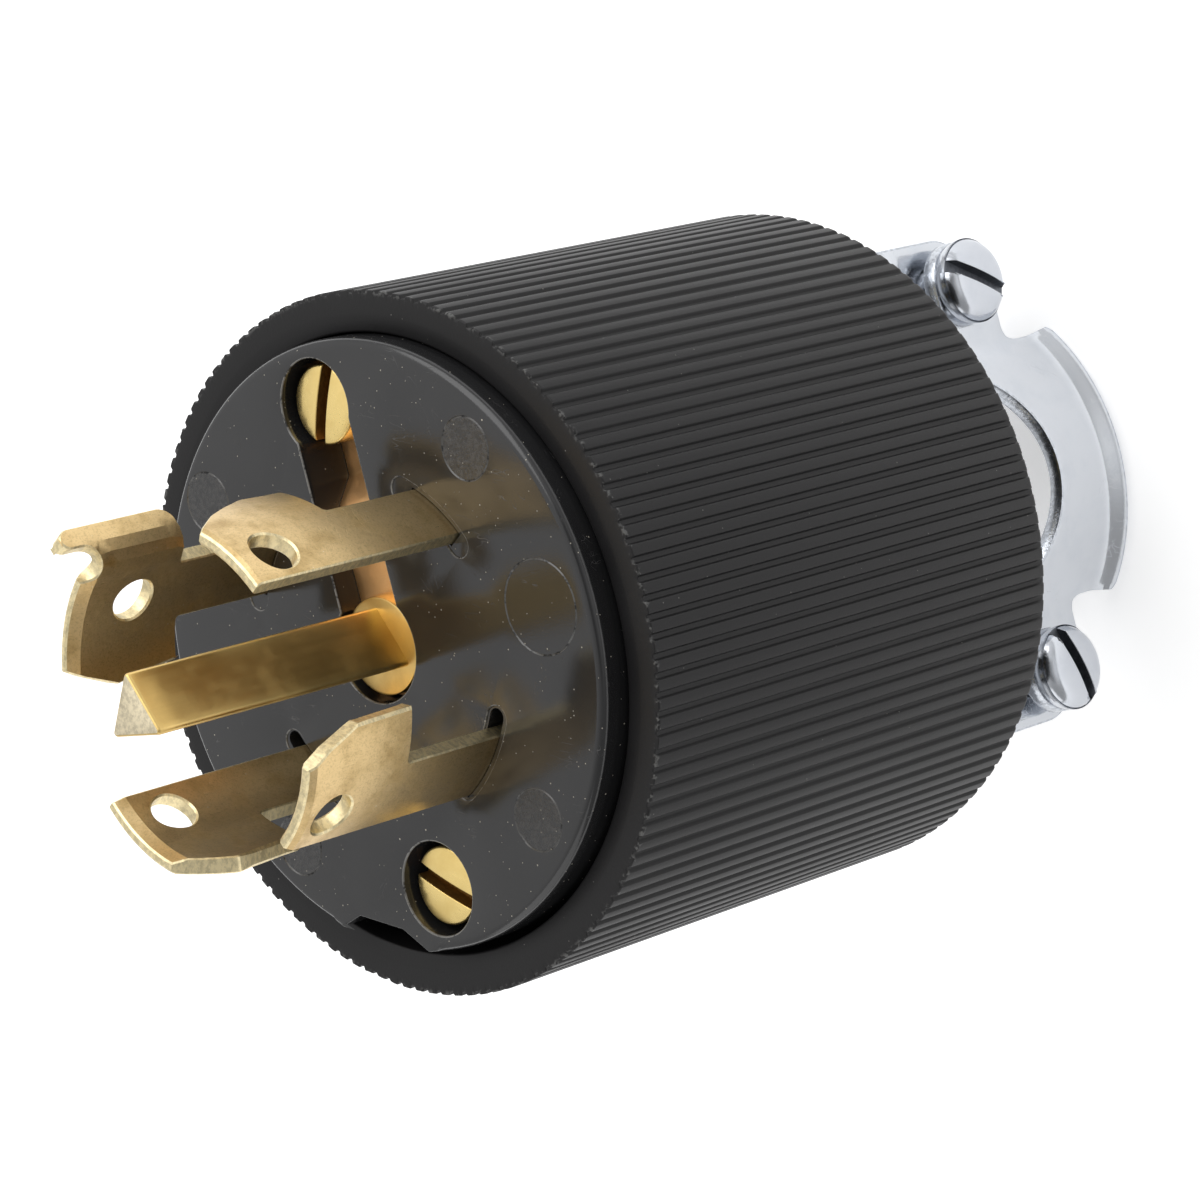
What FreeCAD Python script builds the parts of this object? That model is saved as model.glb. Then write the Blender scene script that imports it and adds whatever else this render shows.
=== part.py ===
import FreeCAD, Part
import math
import os

from FreeCAD import Placement, Rotation, Vector

# A round locking power plug for a cord of about 11 mm. It stands on the rear edges of its cord clamp,
# with its blades up. Z is the axis of the ribbed sleeve, +X is the side of the clamp screws' heads.
# Sizes are in millimetres, and heights are counted from the plane that the plug stands on.

# Heights of the main faces
FACE = 90.5
SLEEVE_FRONT = 88.46
SLEEVE_REAR = 39.5
PARTING = 78.0
BODY_SHIFT = 0.3

# Ribbed sleeve
RIB_COUNT = 120
RIB_RADIUS = 29.6
RIB_DEPTH = 0.3
LAND_SHARE = 0.55
FLOOR_SHARE = 0.25
RIB_END_CHAMFER = 0.5
FRONT_BAND_RADIUS = 27.6
FRONT_BAND_DROP = 0.25
SLEEVE_BORE = 26.1
SLEEVE_REAR_WALL = 3.5
CORD_OPENING = 15.2
OPENING_CHAMFER = 0.8

# Front disc
DISC_RADIUS = 25.65
DISC_EDGE = 0.75
NOTCH_FLOOR = 23.9
NOTCH_RIM_ANGLES = (-119.3, -97.7)
NOTCH_FLOOR_ANGLES = (-115.6, -103.2)
SLOT_RADII = (13.2, 15.3)
SLOT_HALF_ANGLE = 19.3
SLOT_DEPTH = 0.14
OPEN_SLOT_ENDS = {2: -1, 3: 1}
OPEN_SLOT_ANGLE = 18.3
MARK_PLACES = ((16.2, 13.8), (13.8, -16.3), (-16.1, 15.2), (-15.5, -14.8))
MARK_RADIUS = 2.6
WIDE_MARK_PLACE = (20.1, 0.2)
WIDE_MARK_RADIUS = 3.9
MARK_GROOVE = 0.14
MARK_DEPTH = 0.1

# Blades: a strip of a tube's wall with a hooked tip. Angles are counted from the blade's middle.
BLADE_INNER = 13.45
BLADE_OUTER = 14.85
BLADE_ANGLES = (42.3, 138.5, -139.4, -47.8)
BLADE_SIDES = ((-12.6, 10.3), (-11.4, 12.6), (-11.7, 11.7), (-16.7, 10.0))
BLADE_TOPS = (21.5, 21.2, 21.2, 20.8)
BLADE_SLANTS = (0.0, 0.0, 0.4, 0.9)
HOOK_LOWS = (9.8, 9.9, 9.6, 10.1)
HOOK_CORNERS = (
    ((29.2, 9.9), (31.9, 14.0), (23.4, 18.6), (15.4, 21.5)),
    ((28.0, 9.9), (31.4, 16.3), (26.3, 19.7), (23.4, 21.2)),
    ((34.0, 9.8), (37.5, 17.2), (29.3, 19.4), (23.0, 21.2)),
    ((28.9, 10.2), (28.3, 15.9), (22.2, 19.0), (16.6, 20.8)),
)
BLADE_HOLE_PLACES = ((-1.5, 17.6), (1.0, 15.1), (0.0, 16.45), (-3.1, 17.0))
BLADE_HOLE = 1.95
TABBED_BLADE = 1
BEYOND_HOOK = 4.0
TIP_BEVELS = (0.55, 0.3)
TIP_BEVEL_HEIGHTS = (1.05, 0.5)
FOOT_THICKNESS = 1.4
FOOT_END = 21.7
FOOT_HALF_WIDTH = 3.35

# Tab of one blade, turned outwards along a ray
TAB_ANGLE = -21.5
TAB_END = 16.95
TAB_LOW = 12.0
TAB_ROOT_LOW = 11.0
TAB_HIGH = 23.75
TAB_BEND = 1.7
TAB_CORNER = 1.4
RELIEF_ANGLE = -16.6
RELIEF_RADIUS = 1.7
RELIEF_LOW = 20.1
RELIEF_REACH = 15.25

# Ground pin
PIN_CIRCUMRADIUS = 3.6
PIN_APEX_ANGLE = 84.0
PIN_APEX_CUT = 0.3
PIN_LENGTH = 26.15
COLLAR_RADIUS = 4.15
COLLAR_TOP = 0.65
COLLAR_HOLE = 4.65
STEM_RADIUS = 3.4
STEM_HEAD = 4.5

# Copper strap
STRAP_SIDES = (-3.1, 3.65)
STRAP_THICKNESS = 0.8
STRAP_DEPTH_AT_PIN = 2.4
STRAP_DEPTH_AT_SCREW = 4.6
STRAP_JOGGLE = (11.6, 14.2)
STRAP_BENDS = (1.0, 1.0)
STRAP_EYE_AT_PIN = 4.5
STRAP_EYE_AT_SCREW = 3.8

# Assembly screws
SCREW_REACH = 20.4
SCREW_HEAD_RADIUS = 3.35
SCREW_HEAD_TOP = 0.8
SCREW_HEAD_CROWN = 0.35
SCREW_HEAD_HOLE = 4.0
SCREW_SHANK = 2.08
SCREW_CLEARANCE = 2.3
SCREW_END = 36.8
SCREW_SLOT_WIDTH = 1.15
SCREW_SLOT_DEPTH = 1.5
SCREW_SLOT_ANGLES = (62.0, -34.0)

# Terminals
TERMINAL_REACH = 18.3
TERMINAL_WELL = 4.7
TERMINAL_SHANK = 2.1
TERMINAL_HEAD = 3.9
TERMINAL_HEAD_HEIGHT = 2.2
TERMINAL_TIP = 3.0
TERMINAL_TIP_ROOM = 3.6
TERMINAL_TIP_GAP = 0.2
TERMINAL_SLOT_WIDTH = 1.2
TERMINAL_SLOT_DEPTH = 1.0
PLATE_SIDE = 6.4
PLATE_THICKNESS = 1.3

# Inner moulding with the terminal wells
CARRIER_RADIUS = 25.4
CARRIER_FLOOR = 66.0
CARRIER_REAR = 43.2
SKIRT_INNER = 23.4
POST_RADIUS = 3.5

# Cord clamp: two stamped halves, mirrored about the plane between their ears
SHEET = 1.5
CLAMP_MIDDLE = 0.95
EAR_GAP = 1.1
ARCH_CROWN = 7.9
ARCH_RADIUS = 18.65
ARCH_ANGLE = 41.3
SADDLE_HALF_WIDTH = 12.35
CLAMP_SCREW_REACH = 18.8
CLAMP_SCREW_HEIGHT = 10.1
NEAR_EAR = 4.0
FAR_EAR = 4.7
BITE_RADIUS = 11.4
BITE_CROWN = 8.9
LIP_ROOT = 2.5
LIP_FLARE = 34.0
LIP_BEND = 2.6
LIP_CORNER = 1.3
EAR_FILLET = 1.8

# Legs and feet of the fixed half
LEG_INNER_FACE = -2.6
LEG_BEND_HEIGHTS = (16.0, 22.0)
LEG_BEND = 2.0
FOOT_FRONT = 5.0
FOOT_CORNER = 2.0
EAR_BOSS_END = -3.4

# Clamp screws
CLAMP_HEAD_RADIUS = 4.05
CLAMP_HEAD_HEIGHT = 2.6
CLAMP_HEAD_EDGE = 1.5
CLAMP_HEAD_TAPER = 0.25
CLAMP_SHANK = 2.08
CLAMP_SCREW_END = -8.0
CLAMP_SLOT_WIDTH = 1.2
CLAMP_SLOT_DEPTH = 1.3
CLAMP_SLOT_ANGLES = (62.7, 18.7)

# Reach of the cutters across the clamp, and the middle of a quarter circle as a share of its radius
CLAMP_REACH = 20.0
QUARTER_MIDDLE = math.sqrt(0.5)

UP = Vector(0, 0, 1)
ALONG_X = Vector(1, 0, 0)


def polar(radius, degrees, height=0.0):
    """Point at a radius and an angle round Z."""
    turn = math.radians(degrees)
    return Vector(radius * math.cos(turn), radius * math.sin(turn), height)


def cylinder(radius, low, high, x=0.0, y=0.0):
    """Upright cylinder between two heights."""
    return Part.makeCylinder(radius, high - low, Vector(x, y, low), UP)


def box(low, high):
    """Box between two opposite corners."""
    size = high - low
    return Part.makeBox(size.x, size.y, size.z, low)


def polygon(points):
    """Face with straight sides."""
    return Part.Face(Part.makePolygon(list(points) + [points[0]]))


def arc(start, middle, end):
    """Round edge through three points."""
    return Part.Arc(start, middle, end).toShape()


def line(start, end):
    """Straight edge."""
    return Part.LineSegment(start, end).toShape()


def turned(points):
    """Solid of revolution about Z from (radius, height) corners."""
    corners = [Vector(radius, 0, height) for radius, height in points]
    return polygon(corners).revolve(Vector(0, 0, 0), UP, 360)


def sector(inner, outer, first, last, low, high):
    """Stretch of a tube's wall between two angles."""
    middle = (first + last) / 2
    edges = [
        arc(polar(outer, first, low), polar(outer, middle, low), polar(outer, last, low)),
        line(polar(outer, last, low), polar(inner, last, low)),
        arc(polar(inner, last, low), polar(inner, middle, low), polar(inner, first, low)),
        line(polar(inner, first, low), polar(outer, first, low)),
    ]
    return Part.Face(Part.Wire(edges)).extrude(Vector(0, 0, high - low))


def bent_strip(path, radii, thickness, normal):
    """Face of a sheet seen from its edge: path is its middle line, with a round bend at each inner point."""
    half = thickness / 2
    sides = {1: [], -1: []}
    for point, before, after, radius in zip(path[1:-1], path[:-2], path[2:], radii):
        way_in = (point - before).normalize()
        way_out = (after - point).normalize()
        bisector = (way_out - way_in).normalize()
        half_turn = way_in.getAngle(way_out) / 2
        reach = radius * math.tan(half_turn)
        centre = point + bisector * (radius / math.cos(half_turn))
        enter = point - way_in * reach
        leave = point + way_out * reach
        for side in sides:
            offset_in = normal.cross(way_in) * (half * side)
            offset_out = normal.cross(way_out) * (half * side)
            towards = 1 if offset_in.dot(bisector) > 0 else -1
            crown = centre - bisector * (radius - towards * half)
            sides[side].append((enter + offset_in, crown, leave + offset_out))
    first_offset = normal.cross((path[1] - path[0]).normalize()) * half
    last_offset = normal.cross((path[-1] - path[-2]).normalize()) * half
    left = side_edges(path[0] + first_offset, sides[1], path[-1] + last_offset)
    right = side_edges(path[0] - first_offset, sides[-1], path[-1] - last_offset)
    caps = [
        line(path[0] + first_offset, path[0] - first_offset),
        line(path[-1] + last_offset, path[-1] - last_offset),
    ]
    return Part.Face(Part.Wire(Part.__sortEdges__(left + right + caps)))


def side_edges(start, bends, end):
    """Edges of one side of a bent strip."""
    edges = []
    here = start
    for enter, crown, leave in bends:
        if (enter - here).Length > 1e-6:
            edges.append(line(here, enter))
        edges.append(arc(enter, crown, leave))
        here = leave
    if (end - here).Length > 1e-6:
        edges.append(line(here, end))
    return edges


def ribbed_prism():
    """Bar with straight ribs: a flat land, two slanted walls and a floor in each pitch."""
    pitch = 360.0 / RIB_COUNT
    land = pitch * LAND_SHARE / 2
    floor = pitch * FLOOR_SHARE / 2
    low = RIB_RADIUS - RIB_DEPTH
    edges = []
    for index in range(RIB_COUNT):
        middle = index * pitch
        valley = middle + pitch / 2
        land_start = polar(RIB_RADIUS, middle - land, SLEEVE_REAR)
        land_end = polar(RIB_RADIUS, middle + land, SLEEVE_REAR)
        floor_start = polar(low, valley - floor, SLEEVE_REAR)
        floor_end = polar(low, valley + floor, SLEEVE_REAR)
        next_land = polar(RIB_RADIUS, middle + pitch - land, SLEEVE_REAR)
        edges.append(arc(land_start, polar(RIB_RADIUS, middle, SLEEVE_REAR), land_end))
        edges.append(line(land_end, floor_start))
        edges.append(arc(floor_start, polar(low, valley, SLEEVE_REAR), floor_end))
        edges.append(line(floor_end, next_land))
    return Part.Face(Part.Wire(edges)).extrude(Vector(0, 0, SLEEVE_FRONT - SLEEVE_REAR))


def outer_sleeve():
    """Ribbed sleeve, open at the front, with a rear wall that has the cord opening and two screw holes."""
    beyond = RIB_RADIUS + RIB_END_CHAMFER
    wall = turned([
        (CORD_OPENING, SLEEVE_REAR + OPENING_CHAMFER),
        (CORD_OPENING + OPENING_CHAMFER, SLEEVE_REAR),
        (RIB_RADIUS - RIB_END_CHAMFER, SLEEVE_REAR),
        (beyond, SLEEVE_REAR + 2 * RIB_END_CHAMFER),
        (beyond, SLEEVE_FRONT),
        (FRONT_BAND_RADIUS, SLEEVE_FRONT),
        (SLEEVE_BORE, SLEEVE_FRONT - FRONT_BAND_DROP),
        (SLEEVE_BORE, SLEEVE_REAR + SLEEVE_REAR_WALL),
        (CORD_OPENING, SLEEVE_REAR + SLEEVE_REAR_WALL),
    ])
    sleeve = ribbed_prism().common(wall)
    for side in (1, -1):
        sleeve = sleeve.cut(cylinder(SCREW_CLEARANCE, SLEEVE_REAR - 1, SLEEVE_REAR + SLEEVE_REAR_WALL + 1,
                                     0, side * SCREW_REACH + BODY_SHIFT))
    return sleeve


def rounded_disc():
    """Disc with a round front edge."""
    inner = DISC_RADIUS - DISC_EDGE
    reach = DISC_EDGE * QUARTER_MIDDLE
    shoulder = Vector(DISC_RADIUS, 0, FACE - DISC_EDGE)
    on_edge = Vector(inner + reach, 0, FACE - DISC_EDGE + reach)
    edges = [
        line(Vector(0, 0, PARTING), Vector(DISC_RADIUS, 0, PARTING)),
        line(Vector(DISC_RADIUS, 0, PARTING), shoulder),
        arc(shoulder, on_edge, Vector(inner, 0, FACE)),
        line(Vector(inner, 0, FACE), Vector(0, 0, FACE)),
        line(Vector(0, 0, FACE), Vector(0, 0, PARTING)),
    ]
    return Part.Face(Part.Wire(edges)).revolve(Vector(0, 0, 0), UP, 360)


def rim_notch():
    """Notch in the disc's rim, with slanted sides and a straight floor."""
    outside = DISC_RADIUS + 1
    rim_first, rim_last = NOTCH_RIM_ANGLES
    floor_first, floor_last = NOTCH_FLOOR_ANGLES
    corners = [
        polar(outside, rim_first, PARTING - 1),
        polar(NOTCH_FLOOR, floor_first, PARTING - 1),
        polar(NOTCH_FLOOR, floor_last, PARTING - 1),
        polar(outside, rim_last, PARTING - 1),
    ]
    return polygon(corners).extrude(Vector(0, 0, FACE - PARTING + 2))


def round_ended_sector(inner, outer, first, last, low, high):
    """Curved slot between two angles, ends included, each end a half circle."""
    middle = (inner + outer) / 2
    end_radius = (outer - inner) / 2
    lean = math.degrees(end_radius / middle)
    ends = (first + lean, last - lean)
    tips = []
    for end, way in zip(ends, (-1, 1)):
        along = Vector(-math.sin(math.radians(end)), math.cos(math.radians(end)), 0)
        tips.append(polar(middle, end, low) + along * (way * end_radius))
    halfway = (first + last) / 2
    edges = [
        arc(polar(outer, ends[0], low), polar(outer, halfway, low), polar(outer, ends[1], low)),
        arc(polar(outer, ends[1], low), tips[1], polar(inner, ends[1], low)),
        arc(polar(inner, ends[1], low), polar(inner, halfway, low), polar(inner, ends[0], low)),
        arc(polar(inner, ends[0], low), tips[0], polar(outer, ends[0], low)),
    ]
    return Part.Face(Part.Wire(edges)).extrude(Vector(0, 0, high - low))


def blade_slot(index):
    """Shallow curved recess with round ends, and the opening that the blade's strip fits.

    Two of the openings run on past the blade at one end, with a round end of their own.
    """
    angle = BLADE_ANGLES[index]
    inner, outer = SLOT_RADII
    first, last = BLADE_SIDES[index]
    cuts = [
        round_ended_sector(inner, outer, angle - SLOT_HALF_ANGLE, angle + SLOT_HALF_ANGLE, FACE - SLOT_DEPTH,
                           FACE + 1),
        sector(BLADE_INNER, BLADE_OUTER, angle + first, angle + last, PARTING - 1, FACE),
    ]
    side = OPEN_SLOT_ENDS.get(index, 0)
    if side > 0:
        cuts.append(round_ended_sector(BLADE_INNER, BLADE_OUTER, angle, angle + OPEN_SLOT_ANGLE, PARTING - 1, FACE))
    if side < 0:
        cuts.append(round_ended_sector(BLADE_INNER, BLADE_OUTER, angle - OPEN_SLOT_ANGLE, angle, PARTING - 1, FACE))
    return cuts


def ring_groove(place, radius):
    """Shallow round line in the disc's face."""
    low = FACE - MARK_DEPTH
    outside = cylinder(radius + MARK_GROOVE / 2, low, FACE + 1, *place)
    inside = cylinder(radius - MARK_GROOVE / 2, low - 1, FACE + 2, *place)
    return outside.cut(inside)


def strap_line():
    """Middle line of the strap, from the pin to the upper screw."""
    left = STRAP_SIDES[0]
    near = FACE - STRAP_DEPTH_AT_PIN - STRAP_THICKNESS / 2
    far = FACE - STRAP_DEPTH_AT_SCREW - STRAP_THICKNESS / 2
    start, end = STRAP_JOGGLE
    corners = ((0, near), (start, near), (end, far), (SCREW_REACH, far))
    return [Vector(left, y, z) for y, z in corners]


def strap_strip():
    """Flat strip with a joggle, without its eyes."""
    left, right = STRAP_SIDES
    return bent_strip(strap_line(), STRAP_BENDS, STRAP_THICKNESS, ALONG_X).extrude(Vector(right - left, 0, 0))


def strap_channel():
    """Channel in the disc's face: the strap's own form, and all that lies above it."""
    left, right = STRAP_SIDES
    corners = strap_line() + [Vector(left, SCREW_REACH, FACE + 1), Vector(left, 0, FACE + 1)]
    return polygon(corners).extrude(Vector(right - left, 0, 0)).fuse(strap_strip())


def plug_body():
    """Front moulding that holds the blades, the pin and the strap."""
    body = rounded_disc().cut(rim_notch())
    cuts = []
    for index in range(len(BLADE_ANGLES)):
        cuts += blade_slot(index)
    cuts += [ring_groove(place, MARK_RADIUS) for place in MARK_PLACES]
    cuts.append(ring_groove(WIDE_MARK_PLACE, WIDE_MARK_RADIUS))
    cuts.append(cylinder(COLLAR_HOLE, FACE - STRAP_DEPTH_AT_PIN - STRAP_THICKNESS, FACE + 1))
    cuts.append(cylinder(STEM_RADIUS, PARTING - 1, FACE))
    cuts.append(strap_channel())
    seats = (STRAP_DEPTH_AT_SCREW + STRAP_THICKNESS, STRAP_DEPTH_AT_SCREW)
    for side, seat in zip((1, -1), seats):
        cuts.append(cylinder(SCREW_HEAD_HOLE, FACE - seat, FACE + 1, 0, side * SCREW_REACH))
        cuts.append(cylinder(SCREW_CLEARANCE, PARTING - 1, FACE, 0, side * SCREW_REACH))
    for angle in BLADE_ANGLES:
        tip = polar(TERMINAL_REACH, angle)
        cuts.append(cylinder(TERMINAL_SHANK + TERMINAL_TIP_GAP, PARTING - 1, PARTING + TERMINAL_TIP_ROOM,
                             tip.x, tip.y))
    for tool in cuts:
        body = body.cut(tool)
    return body


def terminal_carrier():
    """Cup behind the front moulding: a thick floor with five wells, a skirt and two screw posts."""
    hollow = cylinder(SKIRT_INNER, CARRIER_REAR - 1, CARRIER_FLOOR)
    for side in (1, -1):
        hollow = hollow.cut(cylinder(POST_RADIUS, CARRIER_REAR - 2, CARRIER_FLOOR + 1, 0, side * SCREW_REACH))
    carrier = cylinder(CARRIER_RADIUS, CARRIER_REAR, PARTING).cut(hollow)
    for side in (1, -1):
        carrier = carrier.cut(cylinder(SCREW_CLEARANCE, CARRIER_REAR - 1, PARTING + 1, 0, side * SCREW_REACH))
    carrier = carrier.cut(cylinder(TERMINAL_WELL, CARRIER_FLOOR - 1, PARTING + 1))
    well_top = PARTING - FOOT_THICKNESS
    for angle in BLADE_ANGLES:
        place = polar(TERMINAL_REACH, angle)
        well = cylinder(TERMINAL_WELL, CARRIER_FLOOR - 1, well_top, place.x, place.y)
        carrier = carrier.cut(well.fuse(blade_foot(angle, PARTING + 1)))
    return carrier


def blade_foot(angle, top=PARTING):
    """Flat foot of a blade, turned outwards behind the front moulding. The carrier's cutter is taller."""
    foot = box(Vector(BLADE_INNER - 1, -FOOT_HALF_WIDTH, PARTING - FOOT_THICKNESS),
               Vector(FOOT_END, FOOT_HALF_WIDTH, top))
    foot = foot.cut(cylinder(BLADE_INNER, PARTING - FOOT_THICKNESS - 1, top + 1))
    return foot.rotate(Vector(0, 0, 0), UP, angle)


def radial_prism(angle, points):
    """Prism along the radius at an angle, from (side distance, height) corners."""
    face = polygon([Vector(BLADE_INNER / 2, side, height) for side, height in points])
    prism = face.extrude(Vector(BLADE_OUTER, 0, 0))
    return prism.rotate(Vector(0, 0, 0), UP, angle)


def blade_tip_cutter(index):
    """Material taken off beyond the hook's end and its slanted edges."""
    places = HOOK_CORNERS[index]
    widest = max(angle for angle, height in places)
    middle = (widest + places[-1][0]) / 2

    def side_distance(angle):
        """Distance from the middle ray on the blade's outer face."""
        return BLADE_OUTER * math.sin(math.radians(angle - middle))

    corners = [(side_distance(angle), FACE + height) for angle, height in places]
    beyond = side_distance(widest + BEYOND_HOOK)
    above = FACE + BLADE_TOPS[index] + 1
    under = corners[0][1] - 2
    outline = [(corners[0][0], under)] + corners + [(corners[-1][0], above), (beyond, above), (beyond, under)]
    return radial_prism(middle, outline)


def slanted_top_cutter(index):
    """Wedge over the blade's end, which is lower at the strip's plain side."""
    high_angle = HOOK_CORNERS[index][-1][0]
    high_side = BLADE_OUTER * math.sin(math.radians(high_angle))
    low_side = BLADE_OUTER * math.sin(math.radians(BLADE_SIDES[index][0]))
    top = FACE + BLADE_TOPS[index]
    slope = BLADE_SLANTS[index] / (high_side - low_side)
    outline = [(high_side, top), (high_side, top + 1), (low_side - 1, top + 1),
               (low_side - 1, top - BLADE_SLANTS[index] - slope)]
    return radial_prism(0, outline)


def turned_tab():
    """Tab that continues the blade's wall and then turns outwards along a ray."""
    middle = (BLADE_INNER + BLADE_OUTER) / 2
    half = (BLADE_OUTER - BLADE_INNER) / 2
    root_low, low, high = FACE + TAB_ROOT_LOW, FACE + TAB_LOW, FACE + TAB_HIGH
    bend_offset = math.degrees(math.asin(TAB_BEND / (middle + TAB_BEND)))
    bend_angle = TAB_ANGLE + bend_offset
    centre = polar(middle + TAB_BEND, bend_angle)
    wall = sector(BLADE_INNER, BLADE_OUTER, bend_angle, 0, root_low, high)
    bend = sector(TAB_BEND - half, TAB_BEND + half, bend_angle + 180, TAB_ANGLE + 270, root_low, high)
    bend.translate(Vector(centre.x, centre.y, 0))
    straight = (middle + TAB_BEND) * math.cos(math.radians(bend_offset))
    flap = box(Vector(straight, -half, root_low), Vector(TAB_END, half, high))
    corner = min(TAB_CORNER, TAB_END - straight)
    across = [(straight, root_low), (TAB_END - corner / 2, low), (TAB_END, low + TAB_CORNER),
              (TAB_END, high - TAB_CORNER), (TAB_END - corner, high), (straight - 1, high),
              (straight - 1, root_low)]
    outline = polygon([Vector(x, -2 * half, z) for x, z in across]).extrude(Vector(0, 4 * half, 0))
    flap = flap.common(outline).rotate(Vector(0, 0, 0), UP, TAB_ANGLE)
    return wall.fuse(bend).fuse(flap)


def relief_notch():
    """Round-bottomed notch between the blade's tip and its tab."""
    middle = FACE + RELIEF_LOW + RELIEF_RADIUS
    start = BLADE_INNER / 2
    round_end = Part.makeCylinder(RELIEF_RADIUS, RELIEF_REACH - start, Vector(start, 0, middle), ALONG_X)
    mouth = box(Vector(start, -RELIEF_RADIUS, middle), Vector(RELIEF_REACH, RELIEF_RADIUS, FACE + TAB_HIGH + 1))
    return round_end.fuse(mouth).rotate(Vector(0, 0, 0), UP, RELIEF_ANGLE)


def locking_blade(index):
    """Curved blade with a hooked tip, a round hole and a flat foot with a threaded hole."""
    first, last = BLADE_SIDES[index]
    hook = max(angle for angle, height in HOOK_CORNERS[index])
    top = FACE + BLADE_TOPS[index]
    bottom = PARTING - FOOT_THICKNESS
    inner_bevel, outer_bevel = TIP_BEVELS
    inner_height, outer_height = TIP_BEVEL_HEIGHTS
    wall = sector(BLADE_INNER, BLADE_OUTER, first, hook, bottom, top)
    bevelled = turned([
        (BLADE_INNER, bottom), (BLADE_OUTER, bottom), (BLADE_OUTER, top - outer_height),
        (BLADE_OUTER - outer_bevel, top), (BLADE_INNER + inner_bevel, top), (BLADE_INNER, top - inner_height),
    ])
    blade = wall.common(bevelled)
    beside_strip = sector(BLADE_INNER - 1, BLADE_OUTER + 1, last, hook + BEYOND_HOOK, bottom - 1,
                          FACE + HOOK_LOWS[index])
    blade = blade.cut(beside_strip)
    blade = blade.cut(blade_tip_cutter(index))
    if BLADE_SLANTS[index] > 0:
        blade = blade.cut(slanted_top_cutter(index))
    if index == TABBED_BLADE:
        blade = blade.fuse(turned_tab().cut(cylinder(BLADE_OUTER, top, FACE + TAB_HIGH + 1)))
        blade = blade.cut(relief_notch())
    hole_angle, hole_height = BLADE_HOLE_PLACES[index]
    hole = Part.makeCylinder(BLADE_HOLE, BLADE_OUTER, Vector(BLADE_INNER / 2, 0, FACE + hole_height), ALONG_X)
    blade = blade.cut(hole.rotate(Vector(0, 0, 0), UP, hole_angle))
    beside_foot = math.degrees(math.asin(FOOT_HALF_WIDTH / BLADE_OUTER))
    if first < -beside_foot:
        blade = blade.cut(sector(BLADE_INNER - 1, BLADE_OUTER + 1, first - 1, -beside_foot, bottom - 1, PARTING))
    blade = blade.fuse(blade_foot(0))
    blade = blade.cut(cylinder(TERMINAL_SHANK, bottom - 1, PARTING + 1, TERMINAL_REACH, 0))
    return blade.rotate(Vector(0, 0, 0), UP, BLADE_ANGLES[index])


def ground_pin():
    """Three-sided pin with a collar, a round stem and a headed rear end with a threaded hole."""
    collar_top = FACE - COLLAR_TOP
    collar_base = FACE - STRAP_DEPTH_AT_PIN
    rear = PARTING - FOOT_THICKNESS
    cut_side = 2 * PIN_APEX_CUT / math.sqrt(3)
    corners = []
    for step in range(3):
        angle = PIN_APEX_ANGLE + 120 * step
        apex = polar(PIN_CIRCUMRADIUS - PIN_APEX_CUT, angle, collar_top - 1)
        aside = polar(cut_side / 2, angle + 90)
        corners += [apex - aside, apex + aside]
    pin = polygon(corners).extrude(Vector(0, 0, PIN_LENGTH + COLLAR_TOP + 1))
    pin = pin.fuse(cylinder(COLLAR_RADIUS, collar_base, collar_top))
    pin = pin.fuse(cylinder(STEM_RADIUS, rear, collar_base))
    pin = pin.fuse(cylinder(STEM_HEAD, rear, PARTING))
    return pin.cut(cylinder(TERMINAL_SHANK, rear - 1, PARTING + TERMINAL_TIP_ROOM))


def ground_strap():
    """Copper strip with a joggle and an eye at each end."""
    near = strap_line()[0].z
    far = strap_line()[-1].z
    half = STRAP_THICKNESS / 2
    strap = strap_strip().fuse(cylinder(STRAP_EYE_AT_PIN, near - half, near + half))
    strap = strap.fuse(cylinder(STRAP_EYE_AT_SCREW, far - half, far + half, 0, SCREW_REACH))
    strap = strap.cut(cylinder(STEM_RADIUS, near - 1, near + 1))
    return strap.cut(cylinder(SCREW_CLEARANCE, far - 1, far + 1, 0, SCREW_REACH))


def slot_cutter(width, depth, length, head_end, angle):
    """Straight screwdriver slot across a head that ends at a height."""
    slot = box(Vector(-length, -width / 2, head_end - depth), Vector(length, width / 2, head_end + depth))
    return slot.rotate(Vector(0, 0, 0), UP, angle)


def assembly_screw(side, slot_angle):
    """Long fillister-head screw from the face to the foot of the clamp's fixed half."""
    top = FACE - SCREW_HEAD_TOP
    seat = FACE - STRAP_DEPTH_AT_SCREW
    shoulder = Vector(SCREW_HEAD_RADIUS, 0, top - SCREW_HEAD_CROWN)
    on_dome = Vector(SCREW_HEAD_RADIUS / 2, 0, top - SCREW_HEAD_CROWN / 4)
    edges = [
        line(Vector(0, 0, seat), Vector(SCREW_HEAD_RADIUS, 0, seat)),
        line(Vector(SCREW_HEAD_RADIUS, 0, seat), shoulder),
        arc(shoulder, on_dome, Vector(0, 0, top)),
        line(Vector(0, 0, top), Vector(0, 0, seat)),
    ]
    head = Part.Face(Part.Wire(edges)).revolve(Vector(0, 0, 0), UP, 360)
    head = head.cut(slot_cutter(SCREW_SLOT_WIDTH, SCREW_SLOT_DEPTH, SCREW_HEAD_RADIUS + 1, top, slot_angle))
    screw = head.fuse(cylinder(SCREW_SHANK, SCREW_END, seat))
    return screw.translate(Vector(0, side * SCREW_REACH, 0))


def terminal_place(index):
    """Centre of a terminal: one beside each blade, and the last on the axis."""
    if index < len(BLADE_ANGLES):
        return polar(TERMINAL_REACH, BLADE_ANGLES[index])
    return Vector(0, 0, 0)


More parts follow.
